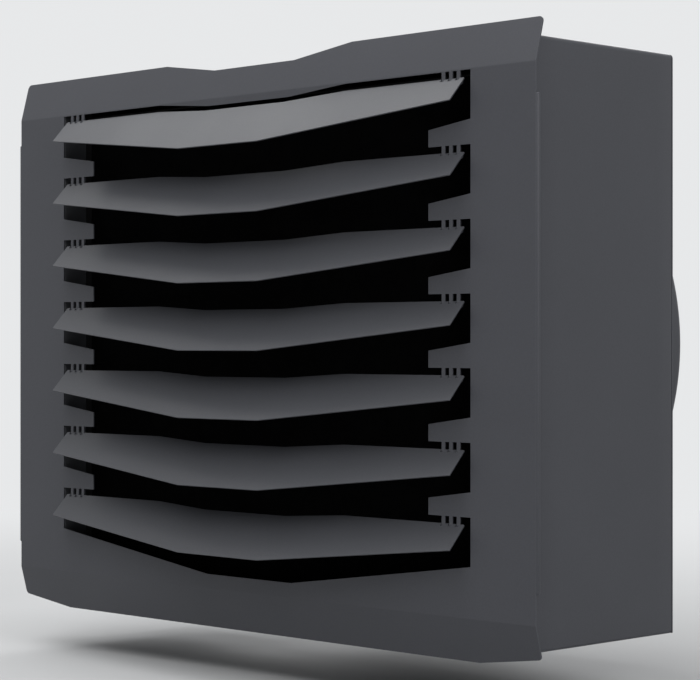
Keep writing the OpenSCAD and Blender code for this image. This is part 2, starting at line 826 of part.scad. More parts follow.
module coil_return_bends() {
    color(copper_colour) in_place() for (z = tube_zs)
        translate([coil_half + plate_t, coil_y + row_pitch, z]) rotate([0, 0, -90])
            rotate_extrude(angle = 180) translate([row_pitch / 2, 0]) difference() {
                circle(r = tube_r, $fn = 24);
                circle(r = tube_r - tube_t, $fn = 24);
            }
}

module coil_end_plate() {
    x1 = coil_half + plate_t;
    h = inner_h / 2;
    color(coil_colour) in_place() difference() {
        union() {
            block([coil_half, coil_y, -h], [x1, coil_back, h]);
            block([coil_half, coil_y, -h], [x1 + plate_flange, coil_y + plate_t, h]);
            block([coil_half, coil_back - plate_t, -h], [x1 + plate_flange, coil_back, h]);
        }
        tube_holes(coil_half - lap, plate_t + 2 * lap, tube_r);
    }
}
module coil_end_plate_right() { coil_end_plate(); }
module coil_end_plate_left() { mirror([1, 0, 0]) coil_end_plate(); }

// A Z-shaped channel between the coil and the casing, which also stops air passing round.
module coil_channel() {
    x = coil_half;
    z0 = coil_h / 2;
    z1 = inner_h / 2;
    color(coil_colour) in_place() {
        block([-x, coil_y, z0], [x, coil_back, z0 + plate_t]);
        block([-x, coil_back - plate_t, z0], [x, coil_back, z1]);
        block([-x, coil_back - plate_t, z1 - plate_t], [x, coil_back + plate_flange, z1]);
    }
}
module coil_channel_top() { coil_channel(); }
module coil_channel_bottom() { translate([0, 0, -2 * insert_z]) mirror([0, 0, 1]) coil_channel(); }

// A vertical header pipe with closed ends; k picks the row and the connection's height.
module header(k, plug_side) {
    x = header_x;
    y = row_y[k];
    color(copper_colour) in_place() difference() {
        rod_z(x, y, -header_top, header_r, 2 * header_top);
        rod_z(x, y, -header_top + header_t, header_r - header_t, 2 * (header_top - header_t));
        for (z = tube_zs) rod_x(x, y, z, tube_r, header_r + lap);
        rod_x(x - header_r - lap, y, stub_zs[k], stub_bore_r, header_r + lap);
        rod_z(x, y, plug_side * header_top - drill_l / 2, plug_thread_r, drill_l);
    }
}
module supply_header() { header(0, -1); }
module return_header() { header(1, 1); }

module connection(k) {
    y = row_y[k];
    z = stub_zs[k];
    x1 = -case_w / 2 - stub_out;
    color(brass_colour) in_place() difference() {
        union() {
            rod_x(x1, y, z, stub_r, header_x - x1);
            translate([-case_w / 2 - lip_out - stub_hex_l, y, z]) rotate([0, 90, 0])
                cylinder(r = stub_hex / 2 / cos(30), h = stub_hex_l, $fn = 6);
        }
        rod_x(x1 - lap, y, z, stub_bore_r, header_x - x1 + 2 * lap);
        rod_z(header_x, y, -header_top, header_r, 2 * header_top);
    }
}
module supply_connection() { connection(0); }
module return_connection() { connection(1); }

module pipe_grommets() {
    color(rubber_colour) in_place() for (k = [0, 1]) difference() {
        union() {
            rod_x(-case_w / 2, row_y[k], stub_zs[k], grommet_r, sheet_t);
            rod_x(-case_w / 2 - lip_out, row_y[k], stub_zs[k], grommet_r + lip_w, lip_out);
            rod_x(-case_w / 2 + sheet_t, row_y[k], stub_zs[k], grommet_r + lip_w, lip_in);
        }
        rod_x(-case_w / 2 - big / 2, row_y[k], stub_zs[k], stub_r, big);
    }
}

// A small plug seated on a header's end; side is 1 at the top and -1 at the bottom.
module plug(k, side) {
    color(brass_colour) in_place() translate([header_x, row_y[k], side * header_top]) {
        rod_z(0, 0, side > 0 ? -header_t : 0, plug_thread_r, header_t);
        translate([0, 0, side > 0 ? 0 : -plug_h]) cylinder(r = plug_r, h = plug_h, $fn = 6);
    }
}
module drain_plug() { plug(0, -1); }
module air_vent_plug() { plug(1, 1); }

// ---- fan cowl, bellmouth and guard ----

// Half section of a can, radius r and rear face at y, with a rounded rear edge.
module can_section(r, y, e) {
    square([r, y - e]);
    square([r - e, y]);
    translate([r - e, y - e]) circle(r = e);
}

module fan_cowl() {
    color(case_colour) in_place() difference() {
        turned() intersection() {
            translate([inlet_r, case_d]) square([cowl_r, cowl_l + lap]);
            union() {
                difference() {
                    can_section(cowl_r, cowl_back, cowl_edge_r);
                    can_section(cowl_r - cowl_t, cowl_back - cowl_t, cowl_edge_r - cowl_t);
                }
                translate([cowl_r - cowl_t, case_d]) square([cowl_flange_w + cowl_t, cowl_t]);
            }
        }
        for (a = cowl_screw_as) drill_y(cowl_screw_r * cos(a), case_d,
            cowl_screw_r * sin(a), cowl_screw_thread + hole_gap);
        for (a = guard_screw_as) drill_y(guard_screw_r * cos(a), cowl_back,
            guard_screw_r * sin(a), screw_r + hole_gap);
    }
}

module bellmouth_ring() {
    cy = bell_y - bell_r;
    flange_r = inlet_r + bell_flange_w;
    color(guard_colour) in_place() difference() {
        turned() polygon(concat([[throat_r, cy - throat_l]],
            arc(inlet_r, cy, bell_r, 180, 90),
            [[flange_r, bell_y], [flange_r, bell_y - cowl_t]],
            arc(inlet_r, cy, bell_r - cowl_t, 90, 180),
            [[throat_r + cowl_t, cy - throat_l]]));
        for (a = guard_screw_as)
            drill_y(guard_screw_r * cos(a), bell_y, guard_screw_r * sin(a), screw_r);
    }
}

module fan_guard() {
    step = (rim_in_r - plate_r) / (ring_n + 1);
    color(guard_colour) in_place() difference() {
        union() {
            ring(rim_in_r, rim_in_r + rim_w, cowl_back, guard_back);
            rod_y(0, cowl_back, 0, plate_r, guard_t);
            for (k = [1:ring_n])
                ring(plate_r + k * step - ring_w / 2, plate_r + k * step + ring_w / 2,
                    guard_back + ring_rise - ring_w, guard_back + ring_rise);
            for (k = [0:arm_n - 1]) rotate([0, (k + 0.5) * 360 / arm_n, 0])
                block([plate_r - lap, cowl_back, -arm_w / 2],
                    [rim_in_r + lap, guard_back, arm_w / 2]);
        }
        for (a = guard_screw_as) drill_y(guard_screw_r * cos(a), cowl_back,
            guard_screw_r * sin(a), screw_r + hole_gap);
        for (a = motor_screw_as) drill_y(motor_screw_pcr * cos(a), cowl_back,
            motor_screw_pcr * sin(a), screw_r + hole_gap);
    }
}

// ---- motor and impeller ----

module motor_stator() {
    color(motor_colour) in_place() difference() {
        union() {
            rod_y(0, stator_front, 0, stator_r, stator_back - stator_front);
            rod_y(0, stator_back - lap, 0, bearing_r + bearing_wall, cowl_back - stator_back);
            rod_y(0, cowl_back - motor_flange_t, 0, motor_flange_r, motor_flange_t);
        }
        rod_y(0, stator_front - lap, 0, shaft_r + 2 * lap, big);
        rod_y(0, stator_front - lap, 0, bearing_r, bearing_w + lap);
        rod_y(0, cowl_back - bearing_w, 0, bearing_r, bearing_w + lap);
        for (a = motor_screw_as) rod_y(motor_screw_pcr * cos(a), cowl_back - screw_l + guard_t,
            motor_screw_pcr * sin(a), screw_r, screw_l);
    }
}

module bearing(y0) {
    color(zinc_colour) in_place() ring(shaft_r + run_gap, bearing_r, y0, y0 + bearing_w);
}
module motor_bearing_front() { bearing(stator_front); }
module motor_bearing_rear() { bearing(cowl_back - bearing_w); }

module motor_shaft() {
    color(zinc_colour) in_place() rod_y(0, can_front, 0, shaft_r, cowl_back - lap - can_front);
}

module rotor_can() {
    color(rotor_colour) in_place() difference() {
        rod_y(0, can_front, 0, can_r, can_l);
        rod_y(0, can_front + can_t, 0, can_r - can_t, can_l);
        rod_y(0, can_front - lap, 0, shaft_r, can_l);
    }
}

// Outline of a swept blade: radius along the first axis, chord along the second.
module blade_outline() {
    n = 10;
    r0 = can_r + lap;
    reach = blade_r + blade_over - r0;
    function mid(t) = tip_sweep * t * t;
    function chord(t) = root_chord + (tip_chord - root_chord) * t;
    polygon(concat(
        [for (i = [0:n]) let (t = i / n) [r0 + reach * t, mid(t) - chord(t) / 2]],
        [for (i = [n:-1:0]) let (t = i / n) [r0 + reach * t, mid(t) + chord(t) / 2]]));
}

module fan_blade() {
    rotate([blade_pitch, 0, 0]) intersection() {
        plate(-blade_reach, 2 * blade_reach) blade_outline();
        translate([can_r, camber_r, 0]) rotate([0, 90, 0]) difference() {
            cylinder(r = camber_r + blade_t / 2, h = blade_r, $fn = 200);
            translate([0, 0, -lap])
                cylinder(r = camber_r - blade_t / 2, h = blade_r + 2 * lap, $fn = 200);
        }
    }
}

module impeller() {
    mid_y = can_front + can_l / 2;
    color(blade_colour) in_place() {
        ring(can_r, hub_r, can_front + hub_in, can_back - hub_in);
        intersection() {
            translate([0, mid_y - blade_front, 0])
                for (k = [0:blade_n - 1]) rotate([0, k * 360 / blade_n, 0]) fan_blade();
            ring(hub_r - lap, blade_r, can_front - blade_reach, can_back + blade_reach);
        }
    }
}

// ---- hanging channels and inserts ----

module hanging_channel() {
    x = hang_x / 2;
    z1 = inner_h / 2;
    color(zinc_colour) in_place() difference() {
        union() {
            block([x - channel_w / 2, channel_front, z1 - channel_t],
                [x + channel_w / 2, shell_back - sheet_t, z1]);
            for (s = [-1, 1]) {
                xs = x + s * (channel_w - channel_t) / 2;
                block([xs - channel_t / 2, channel_front, z1 - channel_h],
                    [xs + channel_t / 2, shell_back - sheet_t, z1]);
            }
        }
        for (y = hang_ys) rod_z(x, y, 0, insert_body_r, big);
    }
}
module hanging_channel_right() { hanging_channel(); }
module hanging_channel_left() { mirror([1, 0, 0]) hanging_channel(); }

module hanging_inserts() {
    color(zinc_colour) in_place() for (s = [-1, 1], y = hang_ys) difference() {
        union() {
            rod_z(s * hang_x / 2, y, insert_z - insert_l, insert_body_r, insert_l);
            rod_z(s * hang_x / 2, y, case_h / 2, insert_flange_r, insert_flange_t);
        }
        rod_z(s * hang_x / 2, y, 0, insert_r, big);
    }
}

// ---- terminal box ----

module box_outline(w, h) {
    translate([box_x - w / 2, box_z - h / 2]) square([w, h]);
}

// Copies to the places of the lid's four screws.
module at_lid_screws() {
    for (sx = [-1, 1], sz = [-1, 1])
        translate([box_x + sx * lid_screw_x, 0, box_z + sz * lid_screw_z]) children();
}

module terminal_box() {
    color(box_colour) in_place() difference() {
        union() {
            difference() {
                plate(box_y, box_d) box_outline(box_w, box_h);
                plate(box_y + box_t, box_d) box_outline(box_w - 2 * box_t, box_h - 2 * box_t);
            }
            at_lid_screws() rod_y(0, box_y, 0, boss_r, box_d);
        }
        at_lid_screws() rod_y(0, box_y + box_d - lid_screw_bite - lap, 0, screw_r, box_d);
        for (p = box_screws) drill_y(p[0], box_y, p[1], screw_r + hole_gap);
        rod_z(box_x, box_y + box_d / 2, box_z - box_h / 2 - lap, gland_r, box_t + 2 * lap);
    }
}

module terminal_block() {
    size = [terminal_w, terminal_d, terminal_h];
    color(terminal_colour) in_place() difference() {
        translate([box_x - size.x / 2, box_y + box_t, box_z + terminal_up]) cube(size);
        for (k = [0:terminal_n - 1])
            rod_y(box_x + (k - (terminal_n - 1) / 2) * size.x / (terminal_n + 0.5),
                box_y + box_t + size.y / 2, box_z + terminal_up + size.z / 2, screw_r, size.y);
    }
}

module terminal_seal() {
    color(rubber_colour) in_place() difference() {
        plate(box_y + box_d, seal_t) difference() {
            box_outline(box_w, box_h);
            box_outline(box_w - 4 * box_t, box_h - 4 * box_t);
        }
        at_lid_screws() rod_y(0, box_y, 0, screw_r + hole_gap, big);
    }
}

module terminal_lid() {
    color(box_colour) in_place() difference() {
        plate(lid_y, lid_t) box_outline(box_w, box_h);
        at_lid_screws() rod_y(0, box_y, 0, screw_r + hole_gap, big);
    }
}

module cable_gland() {
    z = box_z - box_h / 2;
    y = box_y + box_d / 2;
    color(box_colour) in_place() difference() {
        union() {
            rod_z(box_x, y, z, gland_r, box_t + gland_thread_l);
            translate([box_x, y, z - gland_hex_h])
                cylinder(r = gland_hex_r, h = gland_hex_h, $fn = 6);
            rod_z(box_x, y, z - gland_l, gland_cap_r, gland_l - gland_hex_h + lap);
        }
        rod_z(box_x, y, z - box_h, gland_bore_r, 2 * box_h);
    }
}

module gland_nut() {
    z = box_z - box_h / 2 + box_t;
    color(box_colour) in_place() difference() {
        translate([box_x, box_y + box_d / 2, z])
            cylinder(r = gland_hex_r, h = gland_nut_h, $fn = 6);
        rod_z(box_x, box_y + box_d / 2, z - lap, gland_r, gland_nut_h + 2 * lap);
    }
}

// ---- fasteners ----

module back_panel_screws() {
    color(zinc_colour) in_place() {
        for (s = [-1, 1], z = back_screw_zs) screw_y(s * back_screw_x, case_d, z);
        for (x = edge_screw_xs, z = [back_screw_top, back_screw_low]) screw_y(x, case_d, z);
        for (p = box_screws) screw_y(p[0], box_y + box_t, p[1]);
    }
}

module bottom_panel_screws() {
    low = -case_h / 2;
    color(zinc_colour) in_place() for (s = [-1, 1], y = foot_screw_ys) {
        rod_z(s * foot_screw_x, y, low - eps, screw_r, screw_l);
        rod_z(s * foot_screw_x, y, low - head_h, head_r, head_h);
    }
}

module cowl_screws() {
    color(zinc_colour) in_place() for (a = cowl_screw_as)
        screw_y(cowl_screw_r * cos(a), case_d + cowl_t, cowl_screw_r * sin(a),
            cowl_screw_thread, screw_l, cowl_screw_head, head_h);
}

module guard_screws() {
    color(zinc_colour) in_place() for (a = guard_screw_as)
        screw_y(guard_screw_r * cos(a), guard_back, guard_screw_r * sin(a));
}

module motor_screws() {
    color(zinc_colour) in_place() for (a = motor_screw_as)
        screw_y(motor_screw_pcr * cos(a), guard_back, motor_screw_pcr * sin(a));
}

module terminal_lid_screws() {
    color(zinc_colour) in_place() at_lid_screws()
        screw_y(0, lid_y + lid_t, 0, screw_r, lid_t + seal_t + lid_screw_bite);
}

front_frame();
casing_shell();
bottom_panel();
back_panel();
frame_nuts();
louver_hinge_pins();
louver_1();
louver_2();
louver_3();
louver_4();
louver_5();
louver_6();
louver_7();
outlet_liner_left();
outlet_liner_right();
coil_fin_pack();
coil_tubes();
coil_return_bends();
coil_end_plate_left();
coil_end_plate_right();
coil_channel_top();
coil_channel_bottom();
supply_header();
return_header();
supply_connection();
return_connection();
pipe_grommets();
air_vent_plug();
drain_plug();
fan_cowl();
bellmouth_ring();
fan_guard();
motor_stator();
motor_bearing_front();
motor_bearing_rear();
motor_shaft();
rotor_can();
impeller();
hanging_channel_left();
hanging_channel_right();
hanging_inserts();
terminal_box();
terminal_block();
terminal_seal();
terminal_lid();
cable_gland();
gland_nut();
back_panel_screws();
bottom_panel_screws();
cowl_screws();
guard_screws();
motor_screws();
terminal_lid_screws();
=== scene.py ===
"""Looks of a ceiling mounted fan heater, built round its packed construction model.

Shapes are drawn in millimetres of the unit: +Z up, the louvers face -Y, Y = 0 is the plane of the
front frame and Z = 0 the middle of the casing's height. `Shape.mesh` moves them into the frame.
"""

import json
import logging
import math
from collections.abc import Iterator
from dataclasses import dataclass, field
from enum import Enum

import bmesh
import bpy
import numpy as np
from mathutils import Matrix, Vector

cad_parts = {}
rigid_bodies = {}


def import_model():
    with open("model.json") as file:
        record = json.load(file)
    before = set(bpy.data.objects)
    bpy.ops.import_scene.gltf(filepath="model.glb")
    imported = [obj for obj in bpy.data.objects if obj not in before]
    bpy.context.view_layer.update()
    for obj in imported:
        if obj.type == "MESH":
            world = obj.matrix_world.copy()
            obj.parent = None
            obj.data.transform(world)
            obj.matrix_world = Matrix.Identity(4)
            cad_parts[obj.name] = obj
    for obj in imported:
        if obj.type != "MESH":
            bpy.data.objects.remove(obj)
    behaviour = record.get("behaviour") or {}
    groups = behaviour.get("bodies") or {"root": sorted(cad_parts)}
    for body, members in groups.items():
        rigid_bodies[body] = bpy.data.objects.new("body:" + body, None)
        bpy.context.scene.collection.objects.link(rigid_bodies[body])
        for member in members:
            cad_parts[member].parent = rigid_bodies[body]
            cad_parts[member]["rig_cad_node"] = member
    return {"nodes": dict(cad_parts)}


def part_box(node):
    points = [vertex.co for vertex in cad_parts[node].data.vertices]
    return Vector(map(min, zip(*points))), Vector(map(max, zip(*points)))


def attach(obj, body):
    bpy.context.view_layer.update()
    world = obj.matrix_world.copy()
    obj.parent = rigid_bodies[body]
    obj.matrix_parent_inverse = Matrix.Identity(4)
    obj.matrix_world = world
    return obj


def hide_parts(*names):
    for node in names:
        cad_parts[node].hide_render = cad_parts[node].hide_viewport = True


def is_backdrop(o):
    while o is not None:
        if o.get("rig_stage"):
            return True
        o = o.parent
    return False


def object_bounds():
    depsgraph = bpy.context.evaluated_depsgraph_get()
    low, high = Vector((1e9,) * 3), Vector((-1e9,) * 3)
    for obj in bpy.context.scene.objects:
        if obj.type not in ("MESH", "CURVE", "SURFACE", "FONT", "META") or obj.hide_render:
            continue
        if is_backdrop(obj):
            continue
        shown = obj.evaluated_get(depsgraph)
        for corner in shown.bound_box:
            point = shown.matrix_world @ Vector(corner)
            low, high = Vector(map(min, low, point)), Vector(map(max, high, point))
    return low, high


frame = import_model()
CAD_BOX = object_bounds()

# Metres in a millimetre, and the casing's depth in millimetres.
MM = 0.001
CASE_DEPTH = 210.0
# The unit's origin in the frame, in metres.
ORIGIN = np.array([
    0.0,
    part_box("back_panel")[1].y - CASE_DEPTH * MM,
    (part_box("casing_shell")[0].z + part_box("casing_shell")[1].z) / 2,
])
CASING = "casing"
ROTOR = "fan_rotor"
# Least radius of a block's corners, in millimetres, so that each ring keeps all its points.
LEAST_CORNER = 0.05
Point = tuple[float, float, float]
Colour = tuple[float, float, float]
log = logging.getLogger("heater")


def unit_box(node: str) -> tuple[np.ndarray, np.ndarray]:
    """Corners of a CAD node in the unit's millimetres.

    Args:
        node: The node's name.

    Returns:
        Its lowest and its highest corner.
    """
    low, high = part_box(node)
    return (np.array(low) - ORIGIN) / MM, (np.array(high) - ORIGIN) / MM


def unit_middle(node: str) -> np.ndarray:
    """Middle of a CAD node's box, in the unit's millimetres."""
    low, high = unit_box(node)
    return (low + high) / 2


def tone(red: int, green: int, blue: int) -> Colour:
    """A colour as a display shows it, each channel 0 to 255, as linear light."""
    share = (np.array([red, green, blue]) / 255 + 0.055) / 1.055
    return tuple(float(v) for v in share ** 2.4)


# ---- shapes ----


class Axis(Enum):
    """The way a turned or lofted shape points; the value rolls its own x, y, z into place."""

    X = 1
    Y = 2
    Z = 0

    def place(self, points: np.ndarray) -> np.ndarray:
        """Points drawn along Z, laid along this axis."""
        return np.roll(points, self.value, axis=-1)


class Shape:
    """Grids of points and their faces, gathered into one mesh.

    Points nearer to each other than `merge` millimetres become one.
    """

    merge = 0.01

    def __init__(self) -> None:
        """Starts with nothing in it."""
        self.points: list[np.ndarray] = []
        self.faces: list[np.ndarray] = []
        self.count = 0

    def add(self, points: np.ndarray, faces: np.ndarray) -> "Shape":
        """Adds points and the faces between them.

        Args:
            points: Any array of points; its last axis is x, y and z.
            faces: One row of point numbers for each face, 0 for the first of these points.

        Returns:
            The shape itself.
        """
        self.faces.append(faces + self.count)
        self.points.append(points.reshape(-1, 3))
        self.count += self.points[-1].shape[0]
        return self

    def grid(self, points: np.ndarray, around: bool = False, closed: bool = False,
             keep: np.ndarray | None = None) -> "Shape":
        """Adds a grid of points with a quad in each cell.

        Args:
            points: Rows by columns by 3.
            around: Whether the last column meets the first.
            closed: Whether the last row meets the first.
            keep: Which cells get their quad; all of them if it is None.

        Returns:
            The shape itself.
        """
        rows, columns = points.shape[:2]
        index = np.arange(rows * columns).reshape(rows, columns)
        if closed:
            index = np.concatenate([index, index[:1]])
        if around:
            index = np.concatenate([index, index[:, :1]], axis=1)
        quads = np.stack([index[:-1, :-1], index[:-1, 1:], index[1:, 1:], index[1:, :-1]], -1)
        quads = quads.reshape(-1, 4) if keep is None else quads[keep]
        return self.add(points, quads)

    def loft(self, rings: np.ndarray) -> "Shape":
        """Adds a closed solid through rings of points, with a flat face on each end ring.

        Args:
            rings: Rings by points by 3.

        Returns:
            The shape itself.
        """
        self.grid(rings, around=True)
        for ring in (rings[0], rings[-1]):
            self.add(ring, np.arange(len(ring))[None])
        return self

    def turn(self, profile: np.ndarray, axis: Axis = Axis.Y, sides: int = 96,
             ripple: np.ndarray | float = 0.0, at: Point | np.ndarray = (0, 0, 0),
             loop: bool = True) -> "Shape":
        """Adds a profile turned about an axis, as `turned` works it out.

        Args:
            profile: Radius and place along the axis, n by 2.
            axis: The way the axis points.
            sides: Points in each ring.
            ripple: Added to the radius, n by sides or a number.
            at: A point on the axis, from which places along it are counted.
            loop: Whether the profile's ends meet.

        Returns:
            The shape itself.
        """
        grid = turned(profile, axis, sides, ripple) + np.array(at)
        return self.grid(grid, around=True, closed=loop)

    def copies(self, other: "Shape", moves: np.ndarray) -> "Shape":
        """Adds another shape once for each move.

        Args:
            other: The shape to copy.
            moves: One shift per copy, n by 3.

        Returns:
            The shape itself.
        """
        points = np.concatenate(other.points)
        starts = np.arange(len(moves))[:, None, None] * len(points)
        base = self.count
        self.points.append((points[None] + moves[:, None]).reshape(-1, 3))
        self.faces += [(f[None] + starts).reshape(-1, f.shape[1]) + base for f in other.faces]
        self.count += len(points) * len(moves)
        return self

    def mesh(self, name: str, outward: Point | None) -> bpy.types.Mesh:
        """The shape as a mesh in the frame's metres, with its seams and poles closed.

        Args:
            name: The mesh's name.
            outward: For an open sheet, the way its outer face looks on the whole.

        Returns:
            The mesh, its faces outwards.
        """
        mesh = bpy.data.meshes.new(name)
        faces = [face for group in self.faces for face in group.tolist()]
        mesh.from_pydata(np.concatenate(self.points) * MM + ORIGIN, [], faces)
        work = bmesh.new()
        work.from_mesh(mesh)
        bmesh.ops.remove_doubles(work, verts=work.verts, dist=self.merge * MM)
        bmesh.ops.dissolve_degenerate(work, edges=work.edges, dist=self.merge * MM / 2)
        loose = [v for v in work.verts if not v.link_faces]
        bmesh.ops.delete(work, geom=loose, context="VERTS")
        bmesh.ops.recalc_face_normals(work, faces=work.faces)
        if outward is not None:
            total = sum((f.normal * f.calc_area() for f in work.faces), Vector())
            if total.dot(Vector(outward)) < 0:
                bmesh.ops.reverse_faces(work, faces=work.faces)
        work.to_mesh(mesh)
        work.free()
        return mesh


def turned(profile: np.ndarray, axis: Axis = Axis.Y, sides: int = 96,
           ripple: np.ndarray | float = 0.0) -> np.ndarray:
    """A profile carried round an axis: radius times the cosine and sine of each angle.

    Args:
        profile: Radius and place along the axis, n by 2.
        axis: The axis it turns about, through the unit's origin.
        sides: Points in each ring.
        ripple: Added to the radius, n by sides or a number.

    Returns:
        A grid, n by sides by 3.
    """
    angle = np.arange(sides) * 2 * np.pi / sides
    radius = profile[:, :1] + ripple + np.zeros(sides)
    along = np.broadcast_to(profile[:, 1:], radius.shape)
    return axis.place(np.stack([radius * np.cos(angle), radius * np.sin(angle), along], -1))


def arc(centre: tuple[float, float], radius: float, start: float, end: float,
        steps: int = 6) -> np.ndarray:
    """Points of an arc in a plane: the centre and the radius times cosine and sine.

    Args:
        centre: The arc's centre.
        radius: Its radius.
        start: The first point's angle in degrees.
        end: The last point's angle in degrees.
        steps: Straight steps in the arc.

    Returns:
        Points, one more than the steps, by 2.
    """
    angle = np.radians(np.linspace(start, end, steps + 1))
    return np.array(centre) + radius * np.stack([np.cos(angle), np.sin(angle)], -1)


def path(*parts: np.ndarray | tuple[float, float]) -> np.ndarray:
    """Points and arcs joined into one profile."""
    return np.concatenate([np.atleast_2d(np.array(p, float)) for p in parts])


def rounded(width: float, height: float, radius: float, steps: int = 5) -> np.ndarray:
    """The outline of a rectangle with round corners, about its middle.

    Args:
        width: Its size along the first axis.
        height: Its size along the second axis.
        radius: Radius of the corners.
        steps: Straight steps in each corner's arc.

    Returns:
        Points, four times one more than the steps, by 2.
    """
    x, z = width / 2 - radius, height / 2 - radius
    return path(arc((x, z), radius, 0, 90, steps), arc((-x, z), radius, 90, 180, steps),
                arc((-x, -z), radius, 180, 270, steps), arc((x, -z), radius, 270, 360, steps))


def block(low: tuple[float, ...], high: tuple[float, ...], edge: float,
          axis: Axis = Axis.Z, corner: float | None = None) -> np.ndarray:
    """Rings of a block between two corners, with round edges.

    Each ring is the outline drawn in by the depth of a quarter circle of radius `edge`, which
    rises at the first end and falls at the last.

    Args:
        low: Lowest corner.
        high: Highest corner.
        edge: Radius of the edges round both ends.
        axis: The way the rings follow each other.
        corner: Radius of the outline's corners; the same as `edge` if it is None.

    Returns:
        Rings by points by 3, for `Shape.loft`.
    """
    low, high = (np.roll(np.array(p, float), -axis.value) for p in (low, high))
    size, middle = high - low, (low + high) / 2
    corner = edge if corner is None else corner
    turn = np.radians(np.linspace(0, 90, 4))
    inset = edge * (1 - np.sin(turn))
    rise = edge * (1 - np.cos(turn))
    insets = np.concatenate([inset, inset[::-1]])
    levels = np.concatenate([low[2] + rise, high[2] - rise[::-1]])
    rings = []
    for i, level in zip(insets, levels):
        flat = rounded(size[0] - 2 * i, size[1] - 2 * i, max(corner - i, LEAST_CORNER))
        rings.append(np.column_stack([flat + middle[:2], np.full(len(flat), level)]))
    return axis.place(np.array(rings))


def mirrored(values: list[float] | np.ndarray) -> np.ndarray:
    """Values and their negatives, sorted, each once."""
    values = np.asarray(values, float)
    return np.unique(np.round(np.concatenate([-values, values]), 6))


def eased(t: np.ndarray) -> np.ndarray:
    """A soft step: 3 t squared less 2 t cubed, flat outside 0 to 1."""
    t = np.clip(t, 0, 1)
    return t * t * (3 - 2 * t)


def ribbon(line: np.ndarray, start: float, end: float) -> np.ndarray:
    """A line in depth and height, drawn across from one place to another, as a grid."""
    return np.array([[[x, y, z] for x in (start, end)] for y, z in line])


def spun(points: np.ndarray, angle: float) -> np.ndarray:
    """Points turned about the fan's axis by an angle in radians, from X towards Z."""
    cos, sin = math.cos(angle), math.sin(angle)
    return points @ np.array([[cos, 0, sin], [0, 1, 0], [-sin, 0, cos]])


def threaded(levels: np.ndarray, pitch: float, depth: float, sides: int) -> np.ndarray:
    """A thread as a ripple: the radius falls and rises by `depth` once a pitch.

    Args:
        levels: Places along the axis.
        pitch: How far the thread climbs in one turn.
        depth: Depth of the thread.
        sides: Points in each ring.

    Returns:
        What the thread adds to the radius, levels by sides.
    """
    phase = levels[:, None] / pitch - np.arange(sides) / sides
    return -depth * np.abs(2 * (phase % 1) - 1)


def hexagon(reach: float, sides: int) -> np.ndarray:
    """Radius of a hexagon whose flats lie `reach` from its axis, at each of `sides` angles."""
    turn = np.arange(sides) * 2 * np.pi / sides
    return reach / np.cos((turn + np.pi / 6) % (np.pi / 3) - np.pi / 6)


# ---- finishes ----


class Slot(Enum):
    """The record's material slots."""

    CASE_PAINT = "case_paint"
    LOUVER_PAINT = "louver_paint"
    ZINC_PLATE = "zinc_plate"
    STEEL_SCREW = "steel_screw"
    BLACK_COAT = "black_coat"
    COIL_FINS = "coil_fins"
    COPPER_PIPE = "copper_pipe"
    BRASS = "brass"
    BLACK_RUBBER = "black_rubber"
    MOTOR_PAINT = "motor_paint"
    BEARING_STEEL = "bearing_steel"
    BLADE_PLASTIC = "blade_plastic"
    BOX_PLASTIC = "box_plastic"
    WHITE_PLASTIC = "white_plastic"


